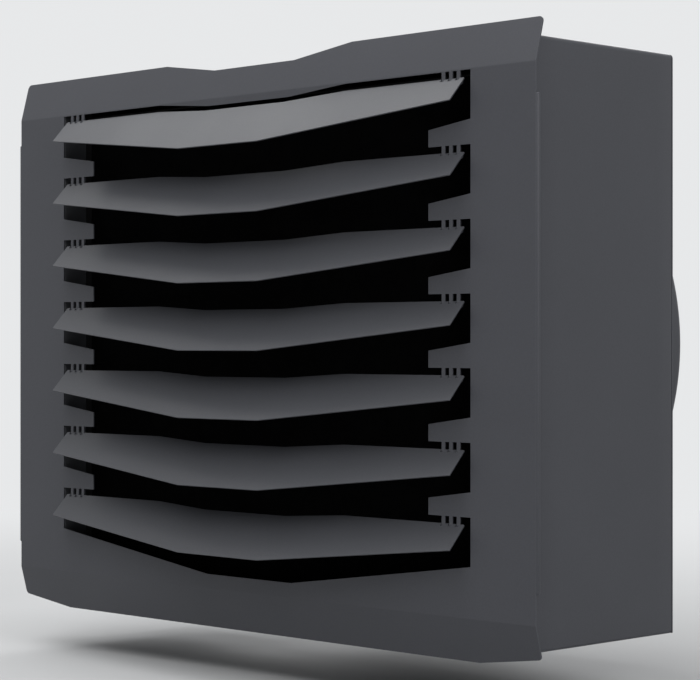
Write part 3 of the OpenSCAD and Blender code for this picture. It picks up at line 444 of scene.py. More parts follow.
class Graph:
    """A material's nodes, with short calls for those that the finishes share."""

    def __init__(self, name: str) -> None:
        """Makes the material with its shader and the piece's own coordinates.

        Args:
            name: The material's name.
        """
        self.material = bpy.data.materials.new(name)
        self.material.use_nodes = True
        self.tree = self.material.node_tree
        self.shader = self.tree.nodes["Principled BSDF"]
        self.place = self.add("ShaderNodeTexCoord").outputs["Object"]

    def add(self, kind: str, inputs: dict[str | int, object] | None = None,
            **settings: object) -> bpy.types.Node:
        """Adds a node.

        Args:
            kind: Blender's name of the node.
            inputs: What each input takes: another node's output, or a value.
            **settings: The node's own settings.

        Returns:
            The node.
        """
        node = self.tree.nodes.new(kind)
        for key, value in settings.items():
            setattr(node, key, value)
        for key, value in (inputs or {}).items():
            self.feed(node.inputs[key], value)
        return node

    def feed(self, socket: bpy.types.NodeSocket, value: object) -> None:
        """Links an output to a socket, or sets the socket's value.

        Args:
            socket: The input.
            value: Another node's output, or a constant.
        """
        if isinstance(value, bpy.types.NodeSocket):
            self.tree.links.new(value, socket)
        else:
            socket.default_value = value

    def noise(self, size: float, detail: float = 2.0,
              stretch: Point = (1, 1, 1)) -> bpy.types.NodeSocket:
        """Noise from 0 to 1.

        Args:
            size: Size of a patch in millimetres, about.
            detail: How many finer layers it has.
            stretch: How many times longer a patch is along x, y and z.

        Returns:
            The noise.
        """
        scale = tuple(1 / s for s in stretch)
        spot = self.add("ShaderNodeMapping", {"Vector": self.place, "Scale": scale})
        return self.add("ShaderNodeTexNoise", {
            "Vector": spot.outputs[0], "Scale": 1 / (size * MM), "Detail": detail,
        }).outputs[0]

    def span(self, value: bpy.types.NodeSocket, low: float, high: float,
             start: float = 0.3, end: float = 0.7) -> bpy.types.NodeSocket:
        """A value's stretch from start to end, spread from low to high, and held outside it."""
        return self.add("ShaderNodeMapRange", {
            "Value": value, "From Min": start, "From Max": end, "To Min": low, "To Max": high,
        }).outputs[0]

    def lit(self, colour: object, value: bpy.types.NodeSocket) -> bpy.types.NodeSocket:
        """A colour made lighter or darker by a factor."""
        return self.add("ShaderNodeHueSaturation", {
            "Color": colour, "Value": value}).outputs[0]

    def blend(self, share: bpy.types.NodeSocket, first: object,
              second: object) -> bpy.types.NodeSocket:
        """Two colours mixed by a share of the second."""
        return self.add("ShaderNodeMix", {0: share, 6: first, 7: second},
                        data_type="RGBA").outputs[2]

    def bump(self, height: bpy.types.NodeSocket, depth: float, strength: float) -> None:
        """Lays bumps over those already on the shader.

        Args:
            height: Height of the bumps, 0 to 1.
            depth: Their depth in millimetres.
            strength: How much of them shows, 0 to 1.
        """
        inputs = {"Height": height, "Distance": depth * MM, "Strength": strength}
        if self.shader.inputs["Normal"].links:
            inputs["Normal"] = self.shader.inputs["Normal"].links[0].from_socket
        self.feed(self.shader.inputs["Normal"], self.add("ShaderNodeBump", inputs).outputs[0])

    def edges(self, width: float) -> bpy.types.NodeSocket:
        """A mask that is 1 on sharp edges, where a rounded normal turns from the true one.

        Args:
            width: How far from the edge the mask fades, in millimetres.

        Returns:
            The mask.
        """
        soft = self.add("ShaderNodeBevel", {"Radius": width * MM}, samples=4)
        true = self.add("ShaderNodeNewGeometry")
        likeness = self.add("ShaderNodeVectorMath", {
            0: soft.outputs[0], 1: true.outputs["Normal"]}, operation="DOT_PRODUCT")
        return self.span(likeness.outputs["Value"], 0.0, 1.0, 0.995, 0.85)

    def finish(self, **values: object) -> None:
        """Sets the shader's sockets, whose names are given with _ for a space."""
        for key, value in values.items():
            self.feed(self.shader.inputs[key.replace("_", " ")], value)


@dataclass(frozen=True)
class Finish:
    """What every finish has: the record's slot, a colour, a roughness and its material's name.

    The name is `finish_` and the slot, with the label after it where a slot has two finishes.
    """

    slot: Slot
    colour: Colour
    roughness: float
    label: str = ""

    @property
    def base(self) -> tuple[float, float, float, float]:
        """The colour with its alpha."""
        return (*self.colour, 1.0)

    def material(self) -> bpy.types.Material:
        """The finish's material, made the first time it is asked for.

        Returns:
            The material.
        """
        name = f"finish_{self.slot.value}{self.label}"
        if name not in bpy.data.materials:
            self.paint(Graph(name))
        return bpy.data.materials[name]

    def paint(self, graph: Graph) -> None:
        """Fills a material's nodes."""
        raise NotImplementedError

    def dress(self, piece: bpy.types.Object) -> None:
        """Puts the finish on a piece in place of what it has.

        Args:
            piece: A new piece, or a CAD node, which keeps the slot that it has.
        """
        piece.data.materials.clear()
        piece.data.materials.append(self.material())


@dataclass(frozen=True)
class PowderCoat(Finish):
    """Baked paint: a fine orange peel, faint clouds, and lighter edges that are partly wear where
    the coat is thin and partly a painted highlight.
    """

    peel: float = 0.10
    peel_sizes: tuple[float, float] = (2.6, 0.7)
    cloud_size: float = 130.0
    fleck_size: float = 1.3
    gloss_size: float = 90.0
    gloss_range: float = 0.02
    edge_width: float = 0.9
    # How far the edges turn to a paler coat: a painted highlight as well as wear.
    edge_gain: float = 0.35
    wear_and_highlight_gain: float = 2.2
    specular: float = 0.3

    def paint(self, graph: Graph) -> None:
        """Clouds and flecks in the colour, two sizes of peel, and lighter edges, which are wear
        and painted highlight together.

        Args:
            graph: The material's nodes.
        """
        clouds = graph.span(graph.noise(self.cloud_size, 3), 0.97, 1.03)
        flecks = graph.span(graph.noise(self.fleck_size, 1), 0.95, 1.05)
        colour = graph.lit(graph.lit(self.base, clouds), flecks)
        # The edges are lightened, partly wear and partly a painted highlight where a fold would
        # catch the light.
        worn_and_highlit = tuple(min(1.0, c * self.wear_and_highlight_gain + 0.02) for c in self.colour)
        mask = graph.add("ShaderNodeMath", {0: graph.edges(self.edge_width), 1: self.edge_gain},
                         operation="MULTIPLY").outputs[0]
        coarse, fine = self.peel_sizes
        graph.bump(graph.noise(coarse, 2), self.peel, 0.35)
        graph.bump(graph.noise(fine, 1), self.peel / 3, 0.25)
        gloss = graph.span(graph.noise(self.gloss_size, 3), self.roughness - self.gloss_range,
                           self.roughness + self.gloss_range)
        graph.finish(Base_Color=graph.blend(mask, colour, (*worn_and_highlit, 1.0)), Roughness=gloss,
                     Specular_IOR_Level=self.specular)


@dataclass(frozen=True)
class PlatedSheet(Finish):
    """Zinc plated steel: crystals of unlike brightness, and streaks from the rolling."""

    crystal: float = 9.0
    streak: float = 1.2
    streak_stretch: Point = (30, 1, 1)

    def paint(self, graph: Graph) -> None:
        """A cell pattern in the colour and the roughness, with fine streaks over it.

        Args:
            graph: The material's nodes.
        """
        cells = graph.add("ShaderNodeTexVoronoi", {
            "Vector": graph.place, "Scale": 1 / (self.crystal * MM)})
        grey = graph.add("ShaderNodeRGBToBW", {"Color": cells.outputs["Color"]}).outputs[0]
        streaks = graph.noise(self.streak, 2, self.streak_stretch)
        colour = graph.lit(self.base, graph.span(grey, 0.9, 1.08, 0.1, 0.9))
        graph.bump(streaks, 0.02, 0.3)
        graph.finish(Base_Color=graph.lit(colour, graph.span(streaks, 0.95, 1.04)),
                     Roughness=graph.span(grey, self.roughness, self.roughness + 0.12, 0.1, 0.9),
                     Metallic=1.0)


@dataclass(frozen=True)
class BareMetal(Finish):
    """Turned or drawn metal: fine rings along one way, and patches where it has dulled."""

    dull: Colour = (0.3, 0.3, 0.3)
    dulled: float = 0.35
    patch: float = 16.0
    groove: float = 0.5
    groove_stretch: Point = (1, 20, 20)

    def paint(self, graph: Graph) -> None:
        """Dull patches in the colour, with tool marks as bumps and in the roughness.

        Args:
            graph: The material's nodes.
        """
        patches = graph.span(graph.noise(self.patch, 4), 0.0, self.dulled, 0.45, 0.75)
        marks = graph.noise(self.groove, 1, self.groove_stretch)
        graph.bump(marks, 0.02, 0.35)
        graph.finish(Base_Color=graph.blend(patches, self.base, (*self.dull, 1.0)),
                     Roughness=graph.span(marks, self.roughness - 0.06, self.roughness + 0.1),
                     Metallic=1.0)


@dataclass(frozen=True)
class Moulded(Finish):
    """Moulded plastic or rubber: a fine grain and a thin film of dust."""

    grain: float = 0.5
    depth: float = 0.05
    dust: float = 0.06
    dust_size: float = 22.0
    dust_gain: float = 0.10
    gloss_size: float = 9.0
    specular: float = 0.4

    def paint(self, graph: Graph) -> None:
        """Grain as bumps, and dust that lightens the colour in soft patches.

        Args:
            graph: The material's nodes.
        """
        dusty = tuple(c + self.dust_gain for c in self.colour)
        film = graph.span(graph.noise(self.dust_size, 5), 0.0, self.dust, 0.4, 0.8)
        graph.bump(graph.noise(self.grain, 2), self.depth, 0.5)
        gloss = graph.span(graph.noise(self.gloss_size, 3), self.roughness - 0.05,
                           self.roughness + 0.08)
        graph.finish(Base_Color=graph.blend(film, self.base, (*dusty, 1.0)), Roughness=gloss,
                     Specular_IOR_Level=self.specular)


CASE_PAINT = PowderCoat(Slot.CASE_PAINT, tone(66, 67, 72), 0.46)
LOUVER_PAINT = PowderCoat(Slot.LOUVER_PAINT, tone(69, 70, 74), 0.38, specular=0.16)
BLACK_COAT = PowderCoat(Slot.BLACK_COAT, tone(36, 37, 39), 0.5, edge_gain=0.2)
LINER_COAT = PowderCoat(Slot.BLACK_COAT, tone(62, 63, 66), 0.5, "_liner", edge_gain=0.0)
COIL_COAT = PowderCoat(Slot.BLACK_COAT, tone(14, 14, 15), 0.6, "_coil", edge_gain=0.0,
                       specular=0.15)
MOTOR_PAINT = PowderCoat(Slot.MOTOR_PAINT, tone(46, 47, 50), 0.4)
ZINC_PLATE = PlatedSheet(Slot.ZINC_PLATE, (0.5, 0.52, 0.53), 0.34)
STEEL_SCREW = PlatedSheet(Slot.STEEL_SCREW, (0.46, 0.47, 0.48), 0.3, crystal=2.0)
COIL_FINS = Moulded(Slot.COIL_FINS, tone(8, 8, 9), 0.7, dust=0.03, specular=0.1)
COPPER_PIPE = BareMetal(Slot.COPPER_PIPE, (0.62, 0.27, 0.16), 0.34, dull=(0.2, 0.09, 0.05))
BRASS = BareMetal(Slot.BRASS, (0.64, 0.45, 0.18), 0.28, dull=(0.32, 0.2, 0.08))
BEARING_STEEL = BareMetal(Slot.BEARING_STEEL, (0.56, 0.56, 0.57), 0.22,
                          groove_stretch=(20, 1, 20))
BLACK_RUBBER = Moulded(Slot.BLACK_RUBBER, tone(26, 26, 26), 0.72, depth=0.03, dust=0.12)
BLADE_PLASTIC = Moulded(Slot.BLADE_PLASTIC, tone(25, 25, 27), 0.46)
BOX_PLASTIC = Moulded(Slot.BOX_PLASTIC, tone(44, 45, 48), 0.5, grain=0.8, depth=0.08)
WHITE_PLASTIC = Moulded(Slot.WHITE_PLASTIC, tone(214, 214, 206), 0.42, dust=0.03)


# ---- pieces ----


@dataclass
class Piece:
    """One piece of the scene: its shape, finish and body, and the CAD nodes that it stands for.

    A sheet is drawn as its outer face only; `wall` gives it its thickness inwards. Sizes are
    millimetres.
    """

    name: str
    shape: Shape
    finish: Finish
    nodes: tuple[str, ...]
    body: str = CASING
    wall: float = 0.0
    outward: Point | None = None
    bevel: float = 0.0
    bevel_angle: float = 40.0
    crease: float = 35.0

    def build(self) -> bpy.types.Object:
        """Makes the object, finishes it and lets it take the place of its nodes.

        Returns:
            The object.
        """
        mesh = self.shape.mesh(self.name, self.outward)
        mesh.polygons.foreach_set("use_smooth", np.ones(len(mesh.polygons), bool))
        mesh.set_sharp_from_angle(angle=math.radians(self.crease))
        piece = bpy.data.objects.new(self.name, mesh)
        bpy.context.scene.collection.objects.link(piece)
        if self.wall:
            self.thicken(piece)
        if self.bevel:
            self.break_edges(piece)
        self.finish.dress(piece)
        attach(piece, self.body)
        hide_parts(*self.nodes)
        return piece

    def thicken(self, piece: bpy.types.Object) -> None:
        """Gives the sheet its wall, behind the outer face.

        Args:
            piece: The sheet.
        """
        solid = piece.modifiers.new("wall", "SOLIDIFY")
        solid.thickness = self.wall * MM
        solid.offset = -1.0
        solid.use_even_offset = True
        solid.use_quality_normals = True

    def break_edges(self, piece: bpy.types.Object) -> None:
        """Rounds the sharp edges a little.

        Args:
            piece: The piece.
        """
        bevel = piece.modifiers.new("edges", "BEVEL")
        bevel.width = self.bevel * MM
        bevel.segments = 2
        bevel.limit_method = "ANGLE"
        bevel.angle_limit = math.radians(self.bevel_angle)
        bevel.harden_normals = True


@dataclass(frozen=True)
class FrontFrame:
    """The bent front sheet: a flat middle with the outlet, and two bands that lean back.

    The sheet is one grid. Its columns are the places across where an edge turns, and its rows
    are the heights of the edges, each a function of the place across.
    """

    half_width: float = 390.0
    top: float = 300.0
    crease: float = 258.0
    soft: float = 0.85
    lean: float = 14.7
    sheet: float = 1.5
    corner: float = 5.0
    low_corner: float = 4.0
    cut_width: float = 78.0
    cut_height: float = 10.0
    outlet_half: float = 310.0
    outlet_top: float = 257.0
    sill: float = -209.3
    sill_flat: float = 64.0
    slope: float = 0.137
    band_dip: float = 11.3
    outlet_dip: float = 6.5
    dip_flat: float = 61.0
    dip_wide: float = 142.0
    pitch: float = 70.0
    louvers: int = 7
    tab_length: float = 54.0
    tab_height: float = 23.7
    finger_length: float = 10.5
    finger_width: float = 4.3
    finger_pitch: float = 9.65
    finger_middle: float = 285.0
    finger_bend: float = 5.2
    finger_curl: tuple[float, float] = (150.0, 425.0)
    hinge_y: float = 2.0
    knuckle: float = 2.6
    pin: float = 1.5
    pin_chamfer: float = 0.4
    hem_out: float = 3.0
    hem_depth: float = 3.7
    hem_end: float = 229.0
    hem_edge: float = 1.1
    hem_corner: float = 1.6
    stud: float = 2.5
    stud_length: float = 11.0
    stud_pitch: float = 0.8
    stud_thread: float = 0.4
    stud_tip: float = 0.6
    stud_weld: float = 0.3
    stud_neck: float = 1.0
    stud_x: float = 378.0
    stud_rows: tuple[float, ...] = (-240.0, -80.0, 80.0, 240.0)

    def bend(self, z: np.ndarray) -> np.ndarray:
        """Depth of the face: nothing up to the crease, then in step with the lean.

        Within `soft` of the crease a parabola joins the two.

        Args:
            z: Heights.

        Returns:
            The depth at each height.
        """
        past = np.abs(z) - self.crease
        curve = np.where(past < self.soft, (past + self.soft) ** 2 / (4 * self.soft), past)
        return np.where(past > -self.soft, curve, 0.0) * math.tan(math.radians(self.lean))

    def dipped(self, x: np.ndarray, height: float, dip: float) -> np.ndarray:
        """Height of an edge whose middle dips: flat, a straight slope each side, then level."""
        return height - dip * np.interp(np.abs(x), [self.dip_flat, self.dip_wide], [1.0, 0.0])

    def upper_edge(self, x: np.ndarray) -> np.ndarray:
        """Height of the sheet's upper edge, with the dip and a quarter circle at each corner.

        Args:
            x: Places across.

        Returns:
            The height at each place.
        """
        past = np.clip(np.abs(x) - self.half_width + self.corner, 0, self.corner)
        drop = self.corner - np.sqrt(self.corner ** 2 - past ** 2)
        return self.dipped(x, self.top, self.band_dip) - drop

    def lower_edge(self, x: np.ndarray) -> np.ndarray:
        """Height of the lower edge: level, then the straight cut, then the corner's arc.

        Args:
            x: Places across.

        Returns:
            The height at each place.
        """
        start = self.half_width - self.cut_width
        turn = self.half_width - self.low_corner
        cut = -self.top + self.cut_height * np.clip((np.abs(x) - start) / (turn - start), 0, 1)
        past = np.clip(np.abs(x) - turn, 0, self.low_corner)
        return cut + self.low_corner - np.sqrt(self.low_corner ** 2 - past ** 2)

    def sill_edge(self, x: np.ndarray) -> np.ndarray:
        """Height of the outlet's lower edge: it drops at the cut slope towards the middle."""
        inside = self.outlet_half - np.clip(np.abs(x), self.sill_flat, self.outlet_half)
        return self.sill - self.slope * inside

    def tab_edge(self, x: np.ndarray, low: float) -> np.ndarray:
        """Height of a tab's upper edge, which drops at the cut slope away from the border."""
        inside = np.clip(self.outlet_half - np.abs(x), 0, self.tab_length)
        return low + self.tab_height - self.slope * inside

    def axis(self, louver: int) -> float:
        """Height of a louver's hinge; the louvers count from 0 at the top."""
        return self.outlet_top - self.finger_length - louver * self.pitch

    def finger_sides(self, width: float) -> np.ndarray:
        """Both sides of a strip that wide at each hinge finger of the right-hand set, 3 by 2."""
        middle = self.finger_middle + np.array([-1, 0, 1]) * self.finger_pitch
        return middle[:, None] + np.array([-0.5, 0.5]) * width

    def face(self) -> Shape:
        """The sheet's outer face with its tabs, as one grid with the open cells left out.

        Returns:
            The face, without its wall.
        """
        turn = np.sin(np.radians(np.linspace(0, 90, 7)))
        columns = mirrored([
            0, self.dip_flat, self.sill_flat, self.dip_wide,
            self.outlet_half - self.tab_length, *self.finger_sides(self.finger_width).ravel(),
            self.outlet_half, self.half_width - self.cut_width,
            *(self.half_width + self.corner * (turn - 1))])
        fold = np.linspace(-self.soft, self.soft, 5)
        rows = [self.lower_edge(columns)]
        rows += [np.full_like(columns, -self.crease + f) for f in fold]
        rows.append(self.sill_edge(columns))
        kinds = ["sheet"] * (len(fold) + 1) + ["gap"]
        for louver in range(self.louvers - 1, 0, -1):
            low = self.outlet_top - louver * self.pitch
            rows += [np.full_like(columns, low), self.tab_edge(columns, low)]
            kinds += ["tab", "gap"]
        rows.append(self.dipped(columns, self.outlet_top, self.outlet_dip))
        rows += [np.full_like(columns, self.crease + f) for f in fold]
        rows.append(self.upper_edge(columns))
        kinds += ["sheet"] * (len(fold) + 1)
        z = np.array(rows)
        x = np.broadcast_to(columns, z.shape)
        middle = np.abs(columns[1:] + columns[:-1]) / 2
        border = middle > self.outlet_half
        tab = middle > self.outlet_half - self.tab_length
        keep = {"sheet": np.ones_like(border), "gap": border, "tab": tab}
        mask = np.array([keep[kind] for kind in kinds])
        return Shape().grid(np.stack([x, self.bend(z), z], -1), keep=mask)

    def finger_line(self) -> np.ndarray:
        """Face of a finger, in depth and height from its hinge axis.

        It drops straight from the tab, eases forwards, and follows the knuckle's circle round
        the pin until it nearly meets the sheet again.

        Returns:
            Points, n by 2.
        """
        bend, ease = self.finger_bend, 0.03
        straight = [(0.0, self.finger_length), (0.0, bend), (-ease, bend - 1.0)]
        first, last = self.finger_curl
        return path(straight, arc((self.hinge_y, 0.0), self.knuckle, first, last, 18))

    def add_fingers(self, shape: Shape) -> None:
        """Adds the curled fingers, three at each end of each louver.

        Args:
            shape: The shape that takes them.
        """
        sides = self.finger_sides(self.finger_width)
        for start, end in np.concatenate([sides, -sides]):
            strip = ribbon(self.finger_line(), start, end)
            for louver in range(self.louvers):
                shape.grid(strip + np.array([0, 0, self.axis(louver)]))

    def hems(self) -> Shape:
        """The rounded bead along each side edge.

        Returns:
            Both beads.
        """
        shape = Shape()
        near, far = self.half_width - self.sheet, self.half_width + self.hem_out
        for left, right in ((-far, -near), (near, far)):
            shape.loft(block((left, 0, -self.hem_end), (right, self.hem_depth, self.hem_end),
                             self.hem_edge, Axis.Z, self.hem_corner))
        return shape

    def studs(self) -> Shape:
        """The threaded studs welded behind the borders.

        Returns:
            All studs.
        """
        sides = 24
        foot, tip = self.sheet - self.stud_weld, self.sheet + self.stud_length
        levels = np.arange(self.sheet + self.stud_neck, tip - self.stud_tip, self.stud_pitch / 4)
        line = path((0, foot), (self.stud, foot),
                    np.column_stack([np.full_like(levels, self.stud), levels]),
                    (self.stud - self.stud_tip, tip), (0, tip))
        ripple = np.zeros((len(line), sides))
        ripple[2:-2] = threaded(levels, self.stud_pitch, self.stud_thread, sides)
        stud = Shape().turn(line, Axis.Y, sides, ripple, loop=False)
        moves = [(s * self.stud_x, 0, z) for s in (-1, 1) for z in self.stud_rows]
        return Shape().copies(stud, np.array(moves))

    def pins(self) -> Shape:
        """The hinge pins, with their ends chamfered.

        Returns:
            All pins, two for each louver.
        """
        half, cut = self.finger_pitch + self.finger_width / 2, self.pin_chamfer
        line = path((0, -half), (self.pin - cut, -half), (self.pin, cut - half),
                    (self.pin, half - cut), (self.pin - cut, half), (0, half))
        pin = Shape().turn(line, Axis.X, 20, loop=False)
        moves = [(s * self.finger_middle, self.hinge_y, self.axis(i))
                 for s in (-1, 1) for i in range(self.louvers)]
        return Shape().copies(pin, np.array(moves))

    def pieces(self) -> Iterator[Piece]:
        """The sheet, its side hems, the studs and the hinge pins.

        Returns:
            The pieces, one after the other.
        """
        face = self.face()
        self.add_fingers(face)
        yield Piece("front_sheet", face, CASE_PAINT, ("front_frame",), wall=self.sheet,
                    outward=(0, -1, 0), bevel=0.3)
        yield Piece("side_hems", self.hems(), CASE_PAINT, ())
        yield Piece("frame_studs", self.studs(), STEEL_SCREW, ())
        yield Piece("hinge_pins", self.pins(), STEEL_SCREW, ("louver_hinge_pins",))


@dataclass(frozen=True)
class Louvers:
    """The seven tilting louvers, each a flat sheet wider in the middle, curled round its pins."""

    front: FrontFrame
    inset: float = 7.3
    end_corner: float = 1.2
    sheet: float = 1.2
    chord: float = 30.7
    back: float = 1.0
    tilt: float = 47.0
    face: float = 4.1
    slot: float = 4.9
    slot_depth: float = 3.3
    curl_start: float = 180.0
    curl_eased: float = 95.0
    curl_end: float = -65.0

    def columns(self) -> np.ndarray:
        """Places across where a louver's edge or a slot turns.

        Returns:
            The places, from left to right.
        """
        front = self.front
        turn = np.sin(np.radians(np.linspace(0, 90, 6)))
        return mirrored([0, front.dip_flat, front.dip_wide, *front.finger_sides(self.slot).ravel(),
                         *(front.outlet_half - self.inset + self.end_corner * (turn - 1))])

    def closed(self) -> Shape:
        """A louver's outer face as it hangs closed, in depth and height from its hinge axis.

        Returns:
            The flat of the face, with a slot at each finger, and the knuckles between them.
        """
        front = self.front
        x = self.columns()
        level = front.dipped(x, self.back, front.outlet_dip)
        past = np.clip(np.abs(x) - front.outlet_half + self.inset + self.end_corner, 0,
                       self.end_corner)
        top = level - self.end_corner + np.sqrt(self.end_corner ** 2 - past ** 2)
        inside = front.outlet_half - self.inset - np.maximum(np.abs(x), front.dip_flat)
        low = self.back - self.chord - front.slope * inside
        z = np.array([low, (2 * low + level) / 3, (low + 2 * level) / 3,
                      level - self.slot_depth, top])
        middle = np.abs(x[1:] + x[:-1]) / 2
        keep = np.ones((len(z) - 1, len(middle)), bool)
        keep[-1] = np.abs(middle - front.finger_middle) > front.finger_pitch + self.slot / 2
        depth = np.full_like(z, -self.face)
        shape = Shape().grid(np.stack([np.broadcast_to(x, z.shape), depth, z], -1), keep=keep)
        half = (front.finger_pitch - self.slot) / 2
        for side in (-1, 1):
            for step in (-0.5, 0.5):
                knuckle = side * (front.finger_middle + step * front.finger_pitch)
                shape.grid(ribbon(self.curl(), knuckle - half, knuckle + half))
        return shape

    def curl(self) -> np.ndarray:
        """The louver's knuckle in depth and height: up the face, then in round the pin.

        The radius falls from the face's distance to the knuckle's own over the first 85
        degrees, by a soft step.

        Returns:
            Points, n by 2.
        """
        angle = np.linspace(self.curl_start, self.curl_end, 22)
        ease = eased((angle - self.curl_eased) / (self.curl_start - self.curl_eased))
        radius = self.front.knuckle + (self.face - self.front.knuckle) * ease
        way = np.radians(angle)
        round_pin = np.stack([radius * np.cos(way), radius * np.sin(way)], -1)
        return path((-self.face, self.back - self.slot_depth), round_pin)

    def tilted(self, shape: Shape, louver: int) -> Shape:
        """The closed louver turned about its hinge to the tilt it rests at.

        Args:
            shape: The closed louver.
            louver: Its number, from 0 at the top.

        Returns:
            The same shape, moved to its hinge.
        """
        turn = math.radians(self.tilt - 90)
        cos, sin = math.cos(turn), math.sin(turn)
        matrix = np.array([[1, 0, 0], [0, cos, -sin], [0, sin, cos]])
        shape.points = [p @ matrix.T + np.array([0, self.front.hinge_y, self.front.axis(louver)])
                        for p in shape.points]
        return shape

    def pieces(self) -> Iterator[Piece]:
        """One piece for each louver, riding on its own body.

        Returns:
            The pieces, one after the other.
        """
        for louver in range(self.front.louvers):
            node = f"louver_{louver + 1}"
            yield Piece(f"{node}_sheet", self.tilted(self.closed(), louver), LOUVER_PAINT,
                        (node,), body=node, wall=self.sheet, outward=(0, -1, 1), bevel=0.3)


@dataclass(frozen=True)
class Casing:
    """The folded shell, the back panel and the bottom panel, with the liners and the inserts.

    `high` is the casing's upper corner, right, rear and top, measured on the CAD shell.
    """

    front: FrontFrame
    sheet: float = 1.2
    back_sheet: float = 1.5
    corner: float = 4.0
    fold: float = 1.4
    flange: float = 18.0
    foot: float = 34.0
    gap: float = 0.2
    liner_in: float = 1.0
    hole: float = 5.5
    hole_pad: float = 14.0
    insert_in: float = 42.0
    insert_places: tuple[float, float] = (50.0, 170.0)
    insert_flange: float = 8.0
    insert_flange_edge: float = 0.5
    insert_taper: float = 0.2
    insert_body: float = 5.5
    insert_chamfer: float = 0.4
    insert_bore: float = 4.0
    insert_lead_in: float = 0.6
    thread_pitch: float = 1.25
    thread_depth: float = 0.35
    cowl_hole: float = 270.0
    high: np.ndarray = field(default_factory=lambda: unit_box("casing_shell")[1])

    @property
    def seat(self) -> float:
        """How far to each side of the middle the hanging inserts sit."""
        return self.high[0] - self.insert_in

    def front_edge(self, z: np.ndarray) -> np.ndarray:
        """Depth at which the casing starts behind the front frame.

        Args:
            z: Heights.

        Returns:
            The depth at each height.
        """
        thick = self.front.sheet / math.cos(math.radians(self.front.lean))
        behind = np.where(np.abs(z) > self.front.crease, thick + self.gap, self.front.sheet)
        return behind + self.front.bend(z)

    def outline(self) -> tuple[np.ndarray, np.ndarray, np.ndarray]:
        """The shell seen from the front, from one foot over the top to the other.

        Returns:
            Centres of the corners' arcs, the ways from centre to skin, and the ways in which a
            mitre leaves each centre; a straight run's points belong to the nearest corner.
        """
        half, top = self.high[0], self.high[2]
        base = -top + self.sheet
        pads = [s * self.seat + d for s in (-1, 1) for d in (-self.hole_pad, 0, self.hole_pad)]
        corner, fold = self.corner, self.fold
        centres, ways, mitres = [], [], []

        def put(x: float, z: float, way: np.ndarray, mitre: tuple[float, float]) -> None:
            """Adds points round one centre.

            Args:
                x: The centre's place across.
                z: The centre's height.
                way: From the centre to each point.
                mitre: The way in which the mitre leaves the centre.
            """
            ways.append(way)
            centres.append(np.broadcast_to([x, z], way.shape))
            mitres.append(np.broadcast_to(mitre, way.shape))

        down = np.array([[0.0, -fold]])
        up = np.array([[0.0, corner]])
        bends = (-self.front.crease, self.front.crease)
        put(-half + self.foot, base + fold, down, (0, -1))
        put(-half + fold, base + fold, arc((0, 0), fold, 270, 180, 6), (-1, -1))
        for z in bends:
            put(-half + corner, z, np.array([[-corner, 0.0]]), (-1, 0))
        put(-half + corner, top - corner, arc((0, 0), corner, 180, 90, 8), (-1, 1))
        for x in pads:
            put(x, top - corner, up, (0, 1))
        put(half - corner, top - corner, arc((0, 0), corner, 90, 0, 8), (1, 1))
        for z in reversed(bends):
            put(half - corner, z, np.array([[corner, 0.0]]), (1, 0))
        put(half - fold, base + fold, arc((0, 0), fold, 0, -90, 6), (1, -1))
        put(half - self.foot, base + fold, down, (0, -1))
        return np.concatenate(centres), np.concatenate(ways), np.concatenate(mitres)

    def shell(self) -> Shape:
        """The shell's skin: its outline drawn in by a profile of flange, fold, wall and flange.

        A point at inset d lies (r - d) from its arc's centre, and past the centre it goes on
        along the corner's mitre. The front rows follow the leaning bands, and a square round
        each insert is left to `add_hole`.

        Returns:
            The outer skin, without its wall.
        """
        centres, ways, mitres = self.outline()
        fold, near, far = self.fold, self.front.sheet, self.high[1]
        rows = sorted({p + d for p in self.insert_places
                       for d in (-self.hole_pad, 0, self.hole_pad)})
        front_fold = path((self.flange, near), arc((fold, near + fold), fold, 270, 180, 5))
        profile = path(front_fold, [(0.0, y) for y in rows],
                       arc((fold, far - fold), fold, 180, 90, 5), (self.flange, far))
        inset, depth = profile[:, 0, None], profile[:, 1, None]
        radius = np.linalg.norm(ways, axis=1)
        left = np.maximum(radius - inset, 0)[..., None]
        past = np.maximum(inset - radius, 0)[..., None]
        flat = centres + ways / radius[:, None] * left - mitres * past
        shift = self.front_edge(flat[..., 1]) - near
        y = depth + np.where(depth < rows[0], shift, 0)
        points = np.stack([flat[..., 0], y, flat[..., 1]], -1)
        skin = flat[len(front_fold)]
        cell_x = (skin[1:, 0] + skin[:-1, 0]) / 2
        cell_y = (depth[1:, 0] + depth[:-1, 0]) / 2
        on_top = skin[1:, 1] > self.high[2] - Shape.merge
        across = (np.abs(np.abs(cell_x) - self.seat) < self.hole_pad) & on_top
        along = np.min(np.abs(cell_y[:, None] - np.array(self.insert_places)), 1) < self.hole_pad
        shape = Shape().grid(points, keep=~(along[:, None] & across[None, :]))
        for x in (-self.seat, self.seat):
            for place in self.insert_places:
                self.add_hole(shape, x, place, self.high[2])
        return shape

    def add_hole(self, shape: Shape, x: float, y: float, z: float) -> None:
        """Adds a square of sheet with a round hole: eight faces from the rim to the circle.

        The rim's points are the square's corners and the middles of its sides, and each face
        takes two of them and the stretch of the circle between them.

        Args:
            shape: The shape that takes it.
            x: The hole's place across.
            y: The hole's depth.
            z: The sheet's height.
        """
        faces, steps = 8, 5
        turn = np.arange(faces) * 2 * np.pi / faces
        rim = np.sign(np.round(np.stack([np.cos(turn), np.sin(turn)], -1), 6)) * self.hole_pad
        fine = np.arange(faces * steps) * 2 * np.pi / (faces * steps)
        circle = np.stack([np.cos(fine), np.sin(fine)], -1) * self.hole
        flat = np.concatenate([rim, circle])
        points = np.column_stack([flat + np.array([x, y]), np.full(len(flat), z)])
        side = np.arange(faces)
        inner = faces + (steps * side[:, None] + np.arange(steps, -1, -1)) % len(fine)
        shape.add(points, np.column_stack([side, (side + 1) % faces, inner]))

